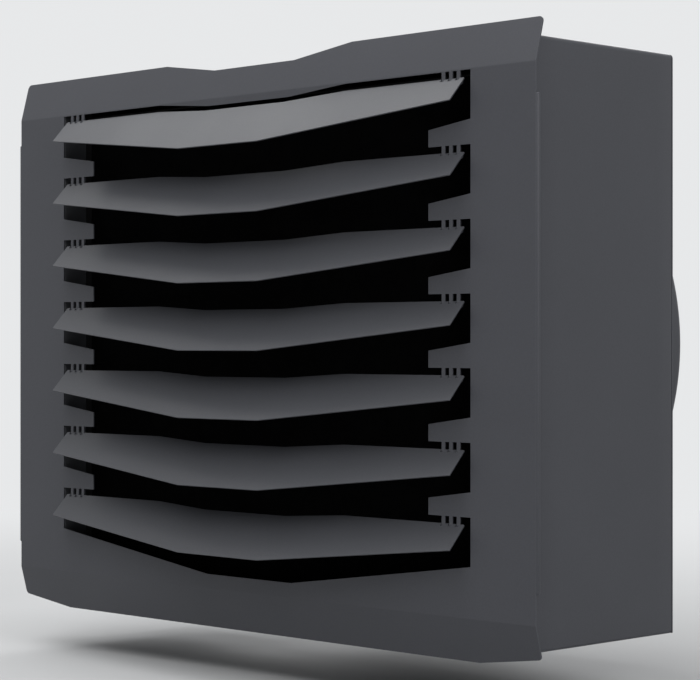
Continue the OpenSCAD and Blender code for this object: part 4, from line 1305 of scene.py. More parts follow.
    def back_panel(self) -> Shape:
        """The back panel's rear face, from the fan's round hole out to the casing's outline.

        Each ray's length is the lesser of those to the upright and the level edges. At the
        upper corners its end is then drawn in to the corner's arc.

        Returns:
            The rear face, without its wall.
        """
        half, top, corner = self.high[0], self.high[2], self.corner
        centre = np.array([half - corner, top - corner])
        bends = path(arc(centre, corner, 0, 90, 6), arc(centre * (-1, 1), corner, 90, 180, 6),
                     (-half, -top), (half, -top))
        edge = np.arctan2(bends[:, 1], bends[:, 0])
        even = np.linspace(-np.pi, np.pi, 97)[:-1]
        angle = np.unique(np.round(np.concatenate([edge, even]), 6))
        way = np.stack([np.cos(angle), np.sin(angle)], -1)
        tiny = 1e-6
        reach = np.min(np.array([half, top]) / np.maximum(np.abs(way), tiny), axis=1)
        rim = way * reach[:, None]
        past = np.abs(rim) - centre
        on_corner = (past > 0).all(1) & (rim[:, 1] > 0)
        pull = corner / np.maximum(np.linalg.norm(past, axis=1), corner)
        round_rim = np.sign(rim) * (centre + past * pull[:, None])
        rim = np.where(on_corner[:, None], round_rim, rim)
        rings = np.stack([way * self.cowl_hole, rim])
        y = np.full(rings.shape[:2], CASE_DEPTH)
        return Shape().grid(np.stack([rings[..., 0], y, rings[..., 1]], -1), around=True)

    def bottom_panel(self) -> Shape:
        """The bottom panel's underside, with its rear edge folded up between the shell's feet.

        Returns:
            The underside, without its wall.
        """
        low, high = unit_box("bottom_panel")
        turn = self.fold
        line = path((self.front_edge(np.array(low[2])).item(), low[2]),
                    arc((high[1] - turn, low[2] + turn), turn, -90, 0, 5), (high[1], high[2]))
        left, right = low[0] + self.foot, high[0] - self.foot
        shape = Shape().grid(ribbon(line, left, right))
        shape.grid(ribbon(line[:2], low[0], left))
        return shape.grid(ribbon(line[:2], right, high[0]))

    def liners(self) -> Iterator[Piece]:
        """The dark side walls behind the outlet, each an angle with a rounded fold.

        Returns:
            Both walls, one after the other.
        """
        for side in ("left", "right"):
            low, high = unit_box(f"outlet_liner_{side}")
            sign = -1 if side == "left" else 1
            near, far = sorted([abs(low[0]), abs(high[0])])
            line = path((far, low[1]), arc((near + self.fold, low[1] + self.fold), self.fold,
                                           270, 180, 5), (near, high[1]))
            end = self.front.crease - self.liner_in
            sheet = np.array([[[sign * x, y, z] for z in (-end, end)] for x, y in line])
            yield Piece(f"liner_{side}", Shape().grid(sheet), LINER_COAT,
                        (f"outlet_liner_{side}",), wall=self.sheet, outward=(-sign, 0, 0),
                        bevel=0.25)

    def inserts(self) -> Shape:
        """The threaded hanging inserts: a flange, a body and a bore with its thread.

        Returns:
            All four inserts.
        """
        low, high = unit_box("hanging_inserts")
        top, bottom, seated, sides = high[2], low[2], self.high[2], 40
        flange, body, bore = self.insert_flange, self.insert_body, self.insert_bore
        edge, cut, taper = self.insert_flange_edge, self.insert_chamfer, self.insert_taper
        outside = path((bore, bottom), (body - cut, bottom), (body, bottom + cut),
                       (body, seated), (flange - taper, seated),
                       arc((flange - edge, top - edge), edge, 0, 90, 4),
                       (bore + self.insert_lead_in, top))
        levels = np.arange(top - self.insert_lead_in, bottom, -self.thread_pitch / 4)
        inside = np.column_stack([np.full_like(levels, bore), levels])
        ripple = np.concatenate([
            np.zeros((len(outside), sides)),
            threaded(levels, self.thread_pitch, self.thread_depth, sides)])
        insert = Shape().turn(path(outside, inside), Axis.Z, sides, ripple)
        moves = [(x, y, 0) for x in (-self.seat, self.seat) for y in self.insert_places]
        return Shape().copies(insert, np.array(moves))

    def pieces(self) -> Iterator[Piece]:
        """The sheet parts of the casing and the inserts.

        Returns:
            The pieces, one after the other.
        """
        yield Piece("casing_sheet", self.shell(), CASE_PAINT, ("casing_shell",),
                    wall=self.sheet, outward=(0, 0, 1), bevel=0.25)
        yield Piece("back_sheet", self.back_panel(), CASE_PAINT, ("back_panel",),
                    wall=self.back_sheet, outward=(0, 1, 0), bevel=0.3)
        yield Piece("bottom_sheet", self.bottom_panel(), CASE_PAINT, ("bottom_panel",),
                    wall=self.sheet, outward=(0, 0, -1), bevel=0.3)
        yield from self.liners()
        yield Piece("insert_set", self.inserts(), STEEL_SCREW, ("hanging_inserts",))


@dataclass(frozen=True)
class Coil:
    """The fins, and the pipe connections that leave the casing through their grommets."""

    fin_pitch: float = 2.5
    fin_wall: float = 0.16
    fin_inset: float = 0.2
    wave: float = 0.5
    wave_length: float = 18.0
    pipe: float = 13.2
    bore: float = 9.5
    bore_chamfer: float = 0.8
    thread_pitch: float = 1.814
    thread_depth: float = 1.16
    thread_length: float = 27.0
    thread_start: float = 1.2
    thread_chamfer: float = 1.4
    undercut: float = 0.6
    hexagon: float = 32.0
    hexagon_ends: tuple[float, float] = (12.0, 3.0)
    cone: float = 1.9
    cone_length: float = 1.3
    grommet_groove: float = 17.2
    grommet_lip: float = 20.2
    grommet_in: float = 3.7
    grommet_out: float = 3.0
    casing_wall: float = 1.2
    connections: tuple[str, str] = ("supply_connection", "return_connection")

    @property
    def skin(self) -> float:
        """The casing's left side, across."""
        return -unit_box("casing_shell")[1][0]

    def fins(self) -> Shape:
        """The fin pack: upright sheets side by side, each waved across by a sine of its depth.

        Returns:
            All fins.
        """
        low, high = unit_box("coil_fin_pack")
        y = np.linspace(low[1], high[1], 13)
        x = self.wave * np.sin((y - low[1]) * 2 * np.pi / self.wave_length)
        loop = np.column_stack([np.concatenate([x - self.fin_wall / 2,
                                                (x + self.fin_wall / 2)[::-1]]),
                                np.concatenate([y, y[::-1]])])
        rings = np.array([np.column_stack([loop, np.full(len(loop), z)])
                          for z in (low[2], high[2])])
        first, last = low[0] + self.wave + self.fin_inset, high[0] - self.wave
        places = np.arange(first, last, self.fin_pitch)
        moves = np.column_stack([places, np.zeros((len(places), 2))])
        return Shape().copies(Shape().loft(rings), moves)

    def connection(self, name: str) -> Shape:
        """A pipe connection: a male thread, a chamfered hexagon and a plain stub, with a bore.

        The hexagon's radius is the lesser of its flats' and of a cone at each end.

        Args:
            name: The connection's CAD node.

        Returns:
            The connection.
        """
        low, high = unit_box(name)
        radius, bore, sides = self.pipe, self.bore, 96
        end, neck = low[0], low[0] + self.thread_length
        hex_a, hex_b = (self.skin - out for out in self.hexagon_ends)
        levels = np.arange(end + self.thread_start, neck, self.thread_pitch / 5)
        thread = np.column_stack([np.full_like(levels, radius), levels])
        corner = self.hexagon / 2 / math.cos(math.pi / 6)
        front = path((bore, end), (bore + self.bore_chamfer, end),
                     (radius - self.thread_chamfer, end))
        stem = path((radius - self.undercut, neck + self.undercut),
                    (radius - self.undercut, hex_a))
        nut = path((corner - self.cone, hex_a), (corner, hex_a + self.cone_length),
                   (corner, hex_b - self.cone_length), (corner - self.cone, hex_b))
        stub = path((radius, hex_b), (radius, high[0]), (bore, high[0]))
        line = path(front, thread, stem, nut, stub)
        ripple = np.zeros((len(line), sides))
        first = len(front)
        ripple[first:first + len(thread)] = threaded(levels, self.thread_pitch,
                                                     self.thread_depth, sides)
        first += len(thread) + len(stem)
        ripple[first:first + len(nut)] = np.minimum(
            nut[:, :1], hexagon(self.hexagon / 2, sides)) - nut[:, :1]
        return Shape().turn(line, Axis.X, sides, ripple, unit_middle(name) * (0, 1, 1))

    def grommets(self) -> Shape:
        """The rubber grommets: two lips with a groove that holds the casing's edge.

        Returns:
            Both grommets.
        """
        wall, groove, lip, pipe = self.skin, self.grommet_groove, self.grommet_lip, self.pipe
        front, back = wall - self.grommet_out, wall + self.grommet_in
        inside = wall + self.casing_wall
        mouth_edge, front_edge, back_edge, lip_in, slant = 0.8, 1.5, 1.2, 1.3, 0.4
        line = path((pipe, front + mouth_edge),
                    arc((pipe + mouth_edge, front + mouth_edge), mouth_edge, 180, 90, 3)[1:],
                    arc((lip - lip_in, front + front_edge), front_edge, 100, 10, 5), (lip, wall),
                    (groove, wall), (groove, inside), (lip - slant, inside),
                    arc((lip - back_edge, inside + back_edge), back_edge, 0, 90, 4),
                    (pipe, back))
        line[:, 1] = np.clip(line[:, 1], front, back)
        ring = Shape().turn(line, Axis.X, 64)
        return Shape().copies(ring, np.array([unit_middle(name) * (0, 1, 1)
                                              for name in self.connections]))

    def pieces(self) -> Iterator[Piece]:
        """The fins, the grommets and both connections.

        Returns:
            The pieces, one after the other.
        """
        yield Piece("fin_sheets", self.fins(), COIL_FINS, ("coil_fin_pack",))
        yield Piece("grommet_rings", self.grommets(), BLACK_RUBBER, ("pipe_grommets",))
        for name in self.connections:
            yield Piece(f"{name}_thread", self.connection(name), BRASS, (name,), crease=28)


@dataclass(frozen=True)
class Fan:
    """The cowl, the bellmouth, the wire guard and the impeller, all about the fan's axis."""

    cowl: float = 272.0
    cowl_sheet: float = 1.5
    cowl_edge: float = 10.0
    cowl_fillet: float = 3.0
    inlet: float = 244.0
    bell: float = 14.0
    throat: float = 230.0
    plate: float = 62.0
    plate_depth: float = 3.0
    plate_edge: float = 1.2
    plate_dome: float = 0.5
    groove: tuple[float, float] = (15.5, 34.0)
    groove_depth: float = 0.9
    groove_slant: float = 1.5
    rim_lap: float = 1.0
    arm_width: float = 4.0
    arm_edge: float = 0.9
    wire: float = 1.3
    wires: int = 16
    arms: int = 8
    blades: int = 7
    tip: float = 224.0
    tip_fade: float = 6.0
    tip_least: float = 0.12
    hub: float = 71.0
    hub_edge: float = 1.5
    hub_inset: float = 2.0
    root: float = 67.0
    root_sunk: float = 2.0
    overrun: float = 20.0
    camber: float = 190.0
    pitch: float = 28.0
    root_chord: float = 74.0
    tip_chord: float = 112.0
    sweep: float = 46.0
    thick: float = 1.5
    forward: float = 6.0

    def cowl_shape(self) -> Shape:
        """The cowl: a flange, a filleted wall and a rounded rear edge, turned about the axis.

        Returns:
            The cowl with both its faces.
        """
        low, high = unit_box("fan_cowl")
        front, back, flange = low[1], high[1], high[0]
        sheet, edge, fillet = self.cowl_sheet, self.cowl_edge, self.cowl_fillet
        corner = (self.cowl - edge, back - edge)
        line = path((flange, front), (flange, front + sheet),
                    arc((self.cowl + fillet, front + sheet + fillet), fillet, 270, 180, 5),
                    arc(corner, edge, 0, 90, 10), (self.inlet, back),
                    (self.inlet, back - sheet), arc(corner, edge - sheet, 90, 0, 10),
                    (self.cowl - sheet, front))
        return Shape().turn(line, sides=192)

    def bellmouth(self) -> Shape:
        """The bellmouth: the throat's tube flaring into a flange.

        Returns:
            The bellmouth with both its faces.
        """
        low, high = unit_box("bellmouth_ring")
        front, back, sheet = low[1], high[1], self.cowl_sheet
        centre = (self.inlet, back - self.bell)
        line = path((self.throat, front), arc(centre, self.bell, 180, 90, 12),
                    (high[0], back), (high[0], back - sheet),
                    arc(centre, self.bell - sheet, 90, 180, 12), (self.throat + sheet, front))
        return Shape().turn(line, sides=144)

    def guard(self) -> Shape:
        """The guard: round wires on eight arms, a pressed centre plate and a flat rim.

        Returns:
            The guard.
        """
        low, high = unit_box("fan_guard")
        front, back = low[1], high[1]
        seat = front + self.plate_depth
        rim_in, rim_out = self.inlet + self.rim_lap, high[0]
        shape = Shape()
        step = (rim_in - self.plate) / (self.wires + 1)
        for k in range(1, self.wires + 1):
            section = arc((self.plate + k * step, back - self.wire), self.wire, 0, 315, 7)
            shape.turn(section, sides=128)
        edge = self.arm_edge
        rim = path(arc((rim_out - edge, seat - edge), edge, 0, 90, 3),
                   arc((rim_in + edge, seat - edge), edge, 90, 180, 3),
                   (rim_in, front), (rim_out, front))
        shape.turn(rim, sides=144)
        shape.turn(self.disc(front, seat), loop=False)
        half = self.arm_width / 2
        bar = block((self.plate - self.rim_lap, front, -half),
                    (rim_in + self.rim_lap, seat, half), edge, Axis.X)
        for k in range(self.arms):
            shape.loft(spun(bar, (k + 0.5) * 2 * math.pi / self.arms))
        return shape

    def disc(self, front: float, back: float) -> np.ndarray:
        """Profile of the guard's centre plate: a rounded edge, a pressed ring and a low dome.

        Args:
            front: Depth of its front face.
            back: Depth of its rear face.

        Returns:
            Radius and depth, n by 2.
        """
        edge, floor, slant = self.plate_edge, back - self.groove_depth, self.groove_slant
        inner, outer = self.groove
        return path((0, front), (self.plate, front),
                    arc((self.plate - edge, back - edge), edge, 0, 90, 4), (outer, back),
                    (outer - slant, floor), (inner + slant, floor), (inner, back),
                    (0, back + self.plate_dome))

    def blade(self) -> np.ndarray:
        """One blade as rings from root to tip.

        At each radius the section is an ellipse wrapped on the camber's circle: the chord runs
        with the cosine of the way round, the thickness with its sine. The section is swept,
        turned by the pitch, and bent to lie on a cylinder of that radius. The rings lie closer
        together towards the tip, where the blade thins out.

        Returns:
            Rings by points by 3, about the fan's axis.
        """
        rings, steps, gathering = 16, 28, 1.4
        share = 1 - (1 - np.linspace(0, 1, rings)) ** gathering
        foot = self.hub - self.root_sunk
        radius = (foot + (self.tip - foot) * share)[:, None]
        out = (radius - self.root) / (self.tip + self.overrun - self.root)
        way = np.arange(steps) * 2 * np.pi / steps
        chord = self.root_chord + (self.tip_chord - self.root_chord) * out
        along = self.sweep * out ** 2 + chord * np.cos(way) / 2
        drop = np.sqrt(self.camber ** 2 - along ** 2)
        tilt = along / drop
        length = np.sqrt(1 + tilt ** 2)
        fade = np.sqrt(np.clip((self.tip - radius) / self.tip_fade, self.tip_least, 1))
        half = self.thick * np.sin(way) * fade
        y = self.camber - drop + half / length
        z = along - half * tilt / length
        cos, sin = math.cos(math.radians(self.pitch)), math.sin(math.radians(self.pitch))
        y, z = y * cos - z * sin, y * sin + z * cos
        x = np.sqrt(radius ** 2 - z ** 2)
        return np.stack([x, y, z], -1)

    def impeller(self) -> Shape:
        """The hub ring with its seven blades.

        Returns:
            The impeller.
        """
        low, high = unit_box("rotor_can")
        can, front, back = high[0], low[1] + self.hub_inset, high[1] - self.hub_inset
        edge = self.hub_edge
        ring = path((can, front), arc((self.hub - edge, front + edge), edge, 270, 360, 4),
                    arc((self.hub - edge, back - edge), edge, 0, 90, 4), (can, back))
        shape = Shape().turn(ring)
        middle = np.array([0, (low[1] + high[1]) / 2 - self.forward, 0])
        blade = self.blade()
        for k in range(self.blades):
            shape.loft(spun(blade, -k * 2 * math.pi / self.blades) + middle)
        return shape

    def pieces(self) -> Iterator[Piece]:
        """The cowl, bellmouth, guard and impeller.

        Returns:
            The pieces, one after the other.
        """
        yield Piece("cowl_sheet", self.cowl_shape(), CASE_PAINT, ("fan_cowl",), bevel=0.25)
        yield Piece("bellmouth_sheet", self.bellmouth(), BLACK_COAT, ("bellmouth_ring",),
                    bevel=0.25)
        yield Piece("wire_guard", self.guard(), BLACK_COAT, ("fan_guard",))
        yield Piece("impeller_moulding", self.impeller(), BLADE_PLASTIC, ("impeller",),
                    body=ROTOR)


@dataclass(frozen=True)
class TerminalBox:
    """The terminal box on the back panel, with its seal, lid and cable gland."""

    corner: float = 6.0
    least_corner: float = 0.6
    wall: float = 2.5
    box_edge: float = 0.7
    box_draft: float = 0.9
    rib_height: float = 6.0
    rib_inset: float = 0.4
    rib_slope: float = 0.8
    floor_taper: float = 0.6
    lid_foot: float = 0.3
    lid_edge: float = 1.2
    lid_edge_middle: float = 0.35
    lid_rim: float = 15.0
    lid_panel: float = 30.0
    recess: float = 0.8
    seal_width: float = 3.6
    seal_inset: float = 0.4
    seal_swell: float = 0.25
    gland_bore: float = 5.0
    gland_thread: float = 10.0
    gland_thread_chamfer: float = 0.8
    gland_cap: float = 11.5
    gland_cap_edge: float = 6.0
    gland_corner: float = 13.8
    gland_hexagon: float = 6.0
    gland_chamfer: float = 1.2
    gland_dome_end: float = -72.0
    gland_mouth: float = 0.4
    gland_ribs: int = 12
    gland_rib_depth: float = 0.7

    def ring(self, name: str, inset: float, y: float) -> np.ndarray:
        """The outline of a node's box with round corners, drawn in.

        Args:
            name: The CAD node.
            inset: How far it is drawn in.
            y: Its depth.

        Returns:
            Points, n by 3.
        """
        low, high = unit_box(name)
        size, middle = high - low, (low + high) / 2
        flat = rounded(size[0] - 2 * inset, size[2] - 2 * inset,
                       max(self.corner - inset, self.least_corner), 7)
        return np.column_stack([flat[:, 0] + middle[0], np.full(len(flat), y),
                                flat[:, 1] + middle[2]])

    def stack(self, name: str, steps: list[tuple[float, float]]) -> Shape:
        """A solid through rings, each given by its inset and depth."""
        return Shape().loft(np.array([self.ring(name, inset, y) for inset, y in steps]))

    def box(self) -> Shape:
        """The open box, with a slight draft and a rib round its mouth.

        Returns:
            The box, its inside included.
        """
        low, high = unit_box("terminal_box")
        foot, mouth = low[1], high[1]
        rib = mouth - self.rib_height
        return self.stack("terminal_box", [
            (self.box_draft + self.box_edge, foot), (self.box_draft, foot + self.box_edge),
            (self.rib_inset, rib), (0.0, rib + self.rib_slope), (0.0, mouth),
            (self.wall, mouth), (self.wall + self.floor_taper, foot + self.wall)])

    def lid(self) -> Shape:
        """The lid: a rounded rim round a slightly sunk panel.

        Returns:
            The lid.
        """
        low, high = unit_box("terminal_lid")
        foot, face, panel = low[1], high[1], high[1] - self.recess
        edge, middle, rim = self.lid_edge, self.lid_edge_middle, self.lid_rim
        return self.stack("terminal_lid", [
            (self.lid_foot, foot), (0.0, foot + self.lid_foot), (0.0, face - edge),
            (middle, face - middle), (edge, face), (rim, face), (rim + self.recess, panel),
            (self.lid_panel, panel)])

    def seal_ring(self) -> Shape:
        """The flat rubber ring between box and lid, which swells a little at its middle.

        Returns:
            The ring.
        """
        low, high = unit_box("terminal_seal")
        foot, face, outside = low[1], high[1], self.seal_inset
        inside = outside + self.seal_width
        rings = [(outside, foot), (outside - self.seal_swell, (foot + face) / 2),
                 (outside, face), (inside, face), (inside, foot)]
        grid = np.array([self.ring("terminal_seal", inset, y) for inset, y in rings])
        return Shape().grid(grid, around=True, closed=True)

    def gland(self) -> Shape:
        """The cable gland: a hexagon, a ribbed cap that domes to its mouth, and the bore.

        Returns:
            The gland.
        """
        low, high = unit_box("cable_gland")
        top, under, mouth, sides = high[2], unit_box("terminal_box")[0][2], low[2], 96
        bore, thread, cap, corner = (self.gland_bore, self.gland_thread, self.gland_cap,
                                     self.gland_corner)
        cut, edge, end = self.gland_thread_chamfer, self.gland_cap_edge, under - self.gland_hexagon
        shank = path((bore, top), (thread - cut, top), (thread, top - cut), (thread, under))
        nut = path((corner, under), (corner, end + self.gland_chamfer),
                   (corner - self.gland_chamfer, end))
        grip = path((cap, end), (cap, end - edge))
        dome = path(arc((cap - edge, end - edge), edge, 0, self.gland_dome_end, 6),
                    (bore, mouth + self.gland_mouth))
        line = path(shank, nut, grip, dome)
        line[:, 1] = np.maximum(line[:, 1], mouth)
        ripple = np.zeros((len(line), sides))
        flats = hexagon(corner * math.cos(math.pi / 6), sides)
        first = len(shank)
        ripple[first:first + len(nut)] = np.minimum(nut[:, :1], flats) - nut[:, :1]
        first += len(nut)
        turn = np.arange(sides) * 2 * np.pi / sides
        wave = np.sign(np.sin(self.gland_ribs * turn))
        ripple[first:first + len(grip)] = self.gland_rib_depth / 2 * (wave - 1)
        return Shape().turn(line, Axis.Z, sides, ripple, unit_middle("cable_gland") * (1, 1, 0))

    def pieces(self) -> Iterator[Piece]:
        """The box, seal, lid and gland.

        Returns:
            The pieces, one after the other.
        """
        yield Piece("box_moulding", self.box(), BOX_PLASTIC, ("terminal_box",), crease=30)
        yield Piece("seal_ring", self.seal_ring(), BLACK_RUBBER, ("terminal_seal",))
        yield Piece("lid_moulding", self.lid(), BOX_PLASTIC, ("terminal_lid",), crease=30)
        yield Piece("gland_body", self.gland(), BOX_PLASTIC, ("cable_gland",))


@dataclass(frozen=True)
class PanScrew:
    """A pan head screw with a cross recess, along Z with its head's underside at 0.

    The surface is a polar grid of four equal quarters. A quarter's columns are a side of the
    recess's arm at the rim, the two sides and the middle of its floor, its other side, and four
    that fill the way to the next arm. The arm's sides are parallel: a column's angle has the
    half width over the radius as its sine. Widths and radii of the recess are shares of the
    head's radius, `fall` and `floor_height` of its height, and `tip` of the shank's radius.
    """

    head: float
    height: float
    shank: float
    length: float
    fall: float = 0.3
    arm: float = 0.17
    floor: float = 0.11
    reach: float = 0.58
    floor_height: float = 0.35
    tip_length: float = 0.8
    tip: float = 0.6
    side = np.array([-1, -1, 0, 1, 1, 0, 0, 0, 0])
    on_floor = np.array([0, 1, 1, 1, 0, 0, 0, 0, 0], bool)
    fill = np.array([0, 0, 0, 0, 0, 25, 38, 52, 65])

    def dome(self, radius: float) -> float:
        """Height of the head's top at a radius: it falls with the radius squared."""
        return self.height * (1 - self.fall * (radius / self.head) ** 2)

    def ring(self, rim: tuple[float, float], floor: tuple[float, float] | None = None,
             pinched: bool = False) -> np.ndarray:
        """One ring of the surface.

        Args:
            rim: Radius and height of the columns that aren't on the recess's floor.
            floor: Those of the columns on its floor; the same as the rim's if it is None.
            pinched: Whether the filling columns meet halfway between two arms.

        Returns:
            Points, 36 by 3.
        """
        radius, height = (np.where(self.on_floor, low, high)
                          for low, high in zip(floor or rim, rim))
        half = np.where(self.on_floor, self.floor, self.arm) * self.head
        most = 0.7072  # hardly more than the sine of 45 degrees, where two arms would meet
        lean = np.arcsin(np.clip(half / np.minimum(radius, self.reach * self.head), 0, most))
        between = np.where(self.fill > 0, np.radians(45 if pinched else self.fill), 0)
        turns = np.arange(4)[:, None] * np.pi / 2 + self.side * lean + between
        radii, heights = np.broadcast_to(radius, turns.shape), np.broadcast_to(height, turns.shape)
        return np.stack([radii * np.cos(turns), radii * np.sin(turns), heights], -1).reshape(-1, 3)

    def surface(self) -> Shape:
        """The screw as one closed grid, from the recess's floor round to the shank's tip.

        Returns:
            The screw.
        """
        head, height, tip = self.head, self.height, -self.length
        deep, reach = self.floor_height * height, self.reach * head
        middle, corner = (share * head * math.sqrt(2) for share in (self.floor, self.arm))
        rings = [self.ring((middle, deep), pinched=True),
                 self.ring((corner, self.dome(corner)), (0.9 * corner, deep), True),
                 self.ring((reach, self.dome(reach)), (0.92 * reach, deep)),
                 self.ring((1.04 * reach, self.dome(reach)))]
        outside = [(0.8 * head, self.dome(0.8 * head)),
                   (0.93 * head, self.dome(0.93 * head) - 0.05 * height),
                   (head, 0.45 * height), (head, 0.12 * height), (0.96 * head, 0.0),
                   (self.shank, 0.0), (self.shank, tip + self.tip_length),
                   (self.tip * self.shank, tip)]
        return Shape().loft(np.array(rings + [self.ring(place) for place in outside]))

    def set_at(self, places: list[Point], axis: Axis, turn_over: bool = False) -> Shape:
        """The screw copied to places.

        Args:
            places: Where each head's underside lies.
            axis: The way the heads point.
            turn_over: Whether they point against it instead.

        Returns:
            All screws.
        """
        one = self.surface()
        flip = np.array([1, 1, -1]) if turn_over else 1
        one.points = [axis.place(p * flip) for p in one.points]
        return Shape().copies(one, np.array(places, float))


@dataclass(frozen=True)
class Fasteners:
    """All screws that show, each where the CAD has it."""

    casing_screw: PanScrew = PanScrew(4.0, 2.4, 2.0, 9.0)
    cowl_screw: PanScrew = PanScrew(2.9, 2.4, 1.5, 9.0)
    guard_back: float = 386.0
    guard_radius: float = 250.0
    motor_radius: float = 42.0
    cowl_radius: float = 277.5
    cowl_sheet: float = 1.5
    side_in: float = 10.0
    side_pitch: float = 200.0
    edge_places: tuple[float, float] = (150.0, 250.0)
    low_edge: float = 9.0
    foot_in: float = 22.0
    foot_pitch: float = 70.0
    box_in: float = 24.0
    box_wall: float = 2.5
    lid_in: float = 8.0

    def circle(self, radius: float, count: int, first: float, y: float) -> list[Point]:
        """Places evenly round the fan's axis, the first at an angle in degrees."""
        turn = np.radians(first + np.arange(count) * 360 / count)
        return [(radius * c, y, radius * s) for c, s in zip(np.cos(turn), np.sin(turn))]

    def back_places(self) -> list[Point]:
        """Places round the back panel, and the two screws inside the terminal box.

        Returns:
            The places.
        """
        low, high = unit_box("casing_shell")
        sides = [(s * (high[0] - self.side_in), CASE_DEPTH, k * self.side_pitch)
                 for s in (-1, 1) for k in (-1, 0, 1)]
        rows = [(s * x, CASE_DEPTH, z) for s in (-1, 1) for x in self.edge_places
                for z in (high[2] - self.side_in, low[2] + self.low_edge)]
        box_low, box_high = unit_box("terminal_box")
        x, _, z = unit_middle("terminal_box")
        reach = (box_high[0] - box_low[0]) / 2 - self.box_in
        return sides + rows + [(x + s * reach, box_low[1] + self.box_wall, z) for s in (-1, 1)]

    def foot_places(self) -> list[Point]:
        """Places under the bottom panel."""
        low, high = unit_box("casing_shell")
        return [(s * (high[0] - self.foot_in), CASE_DEPTH / 2 + k * self.foot_pitch, low[2])
                for s in (-1, 1) for k in (-1, 0, 1)]

    def lid_places(self) -> list[Point]:
        """Places at the lid's corners."""
        low, high = unit_box("terminal_lid")
        return [(x, high[1], z) for x in (low[0] + self.lid_in, high[0] - self.lid_in)
                for z in (low[2] + self.lid_in, high[2] - self.lid_in)]

    def pieces(self) -> Iterator[Piece]:
        """One piece for each set of screws.

        Returns:
            The pieces, one after the other.
        """
        cowl_back = CASE_DEPTH + self.cowl_sheet
        sets = {
            "back_panel_screws": (self.casing_screw, self.back_places()),
            "cowl_screws": (self.cowl_screw, self.circle(self.cowl_radius, 8, 22.5, cowl_back)),
            "guard_screws": (self.casing_screw,
                             self.circle(self.guard_radius, 8, 0, self.guard_back)),
            "motor_screws": (self.casing_screw,
                             self.circle(self.motor_radius, 4, 45, self.guard_back)),
            "terminal_lid_screws": (self.casing_screw, self.lid_places()),
        }
        for node, (screw, places) in sets.items():
            yield Piece(f"{node}_set", screw.set_at(places, Axis.Y), STEEL_SCREW, (node,))
        under = self.casing_screw.set_at(self.foot_places(), Axis.Z, True)
        yield Piece("bottom_panel_screws_set", under, STEEL_SCREW, ("bottom_panel_screws",))


CARRIED_OVER: dict[str, Finish] = {
    "frame_nuts": STEEL_SCREW,
    "coil_tubes": COPPER_PIPE,
    "coil_return_bends": COPPER_PIPE,
    "coil_end_plate_left": COIL_COAT,
    "coil_end_plate_right": COIL_COAT,
    "coil_channel_top": COIL_COAT,
    "coil_channel_bottom": COIL_COAT,
    "supply_header": COPPER_PIPE,
    "return_header": COPPER_PIPE,
    "air_vent_plug": BRASS,
    "drain_plug": BRASS,
    "motor_stator": MOTOR_PAINT,
    "motor_bearing_front": BEARING_STEEL,
    "motor_bearing_rear": BEARING_STEEL,
    "motor_shaft": BEARING_STEEL,
    "rotor_can": MOTOR_PAINT,
    "hanging_channel_left": ZINC_PLATE,
    "hanging_channel_right": ZINC_PLATE,
    "terminal_block": WHITE_PLASTIC,
    "gland_nut": BOX_PLASTIC,
}


# ---- stage ----


@dataclass(frozen=True)
class PhotoView:
    """The photograph's viewpoint, and the picture's size in pixels."""

    position: Point = (1703.8, -1545.1, 0.0)
    target: Point = (0.0, 158.7, 0.0)
    focal: float = 2220.0
    centre: tuple[float, float] = (356.15, 343.6)
    picture: tuple[int, int] = (700, 680)
    sensor: float = 36.0
    clip_end: float = 100.0

    def build(self) -> None:
        """Makes the camera and gives it to the scene."""
        data = bpy.data.cameras.new("photo_view")
        width, height = self.picture
        data.sensor_width = self.sensor
        data.lens = self.focal / width * self.sensor
        data.shift_x = (width / 2 - self.centre[0]) / width
        data.shift_y = (self.centre[1] - height / 2) / width
        data.clip_end = self.clip_end
        camera = bpy.data.objects.new("photo_view", data)
        camera.location = Vector(np.array(self.position) * MM + ORIGIN)
        aim = Vector(np.array(self.target) * MM + ORIGIN) - camera.location
        camera.rotation_euler = aim.to_track_quat("-Z", "Y").to_euler()
        bpy.context.scene.collection.objects.link(camera)
        bpy.context.scene.camera = camera


@dataclass(frozen=True)
class Lamp:
    """A soft rectangular lamp, placed and aimed in metres from the unit's middle."""

    name: str
    place: Point
    aim: Point
    size: float
    power: float

    def build(self) -> None:
        """Hangs the lamp."""
        data = bpy.data.lights.new(self.name, "AREA")
        data.energy = self.power
        data.size = self.size
        lamp = bpy.data.objects.new(self.name, data)
        lamp.location = Vector(self.place) + Vector(ORIGIN)
        aim = Vector(self.aim) + Vector(ORIGIN) - lamp.location
        lamp.rotation_euler = aim.to_track_quat("-Z", "Y").to_euler()
        bpy.context.scene.collection.objects.link(lamp)


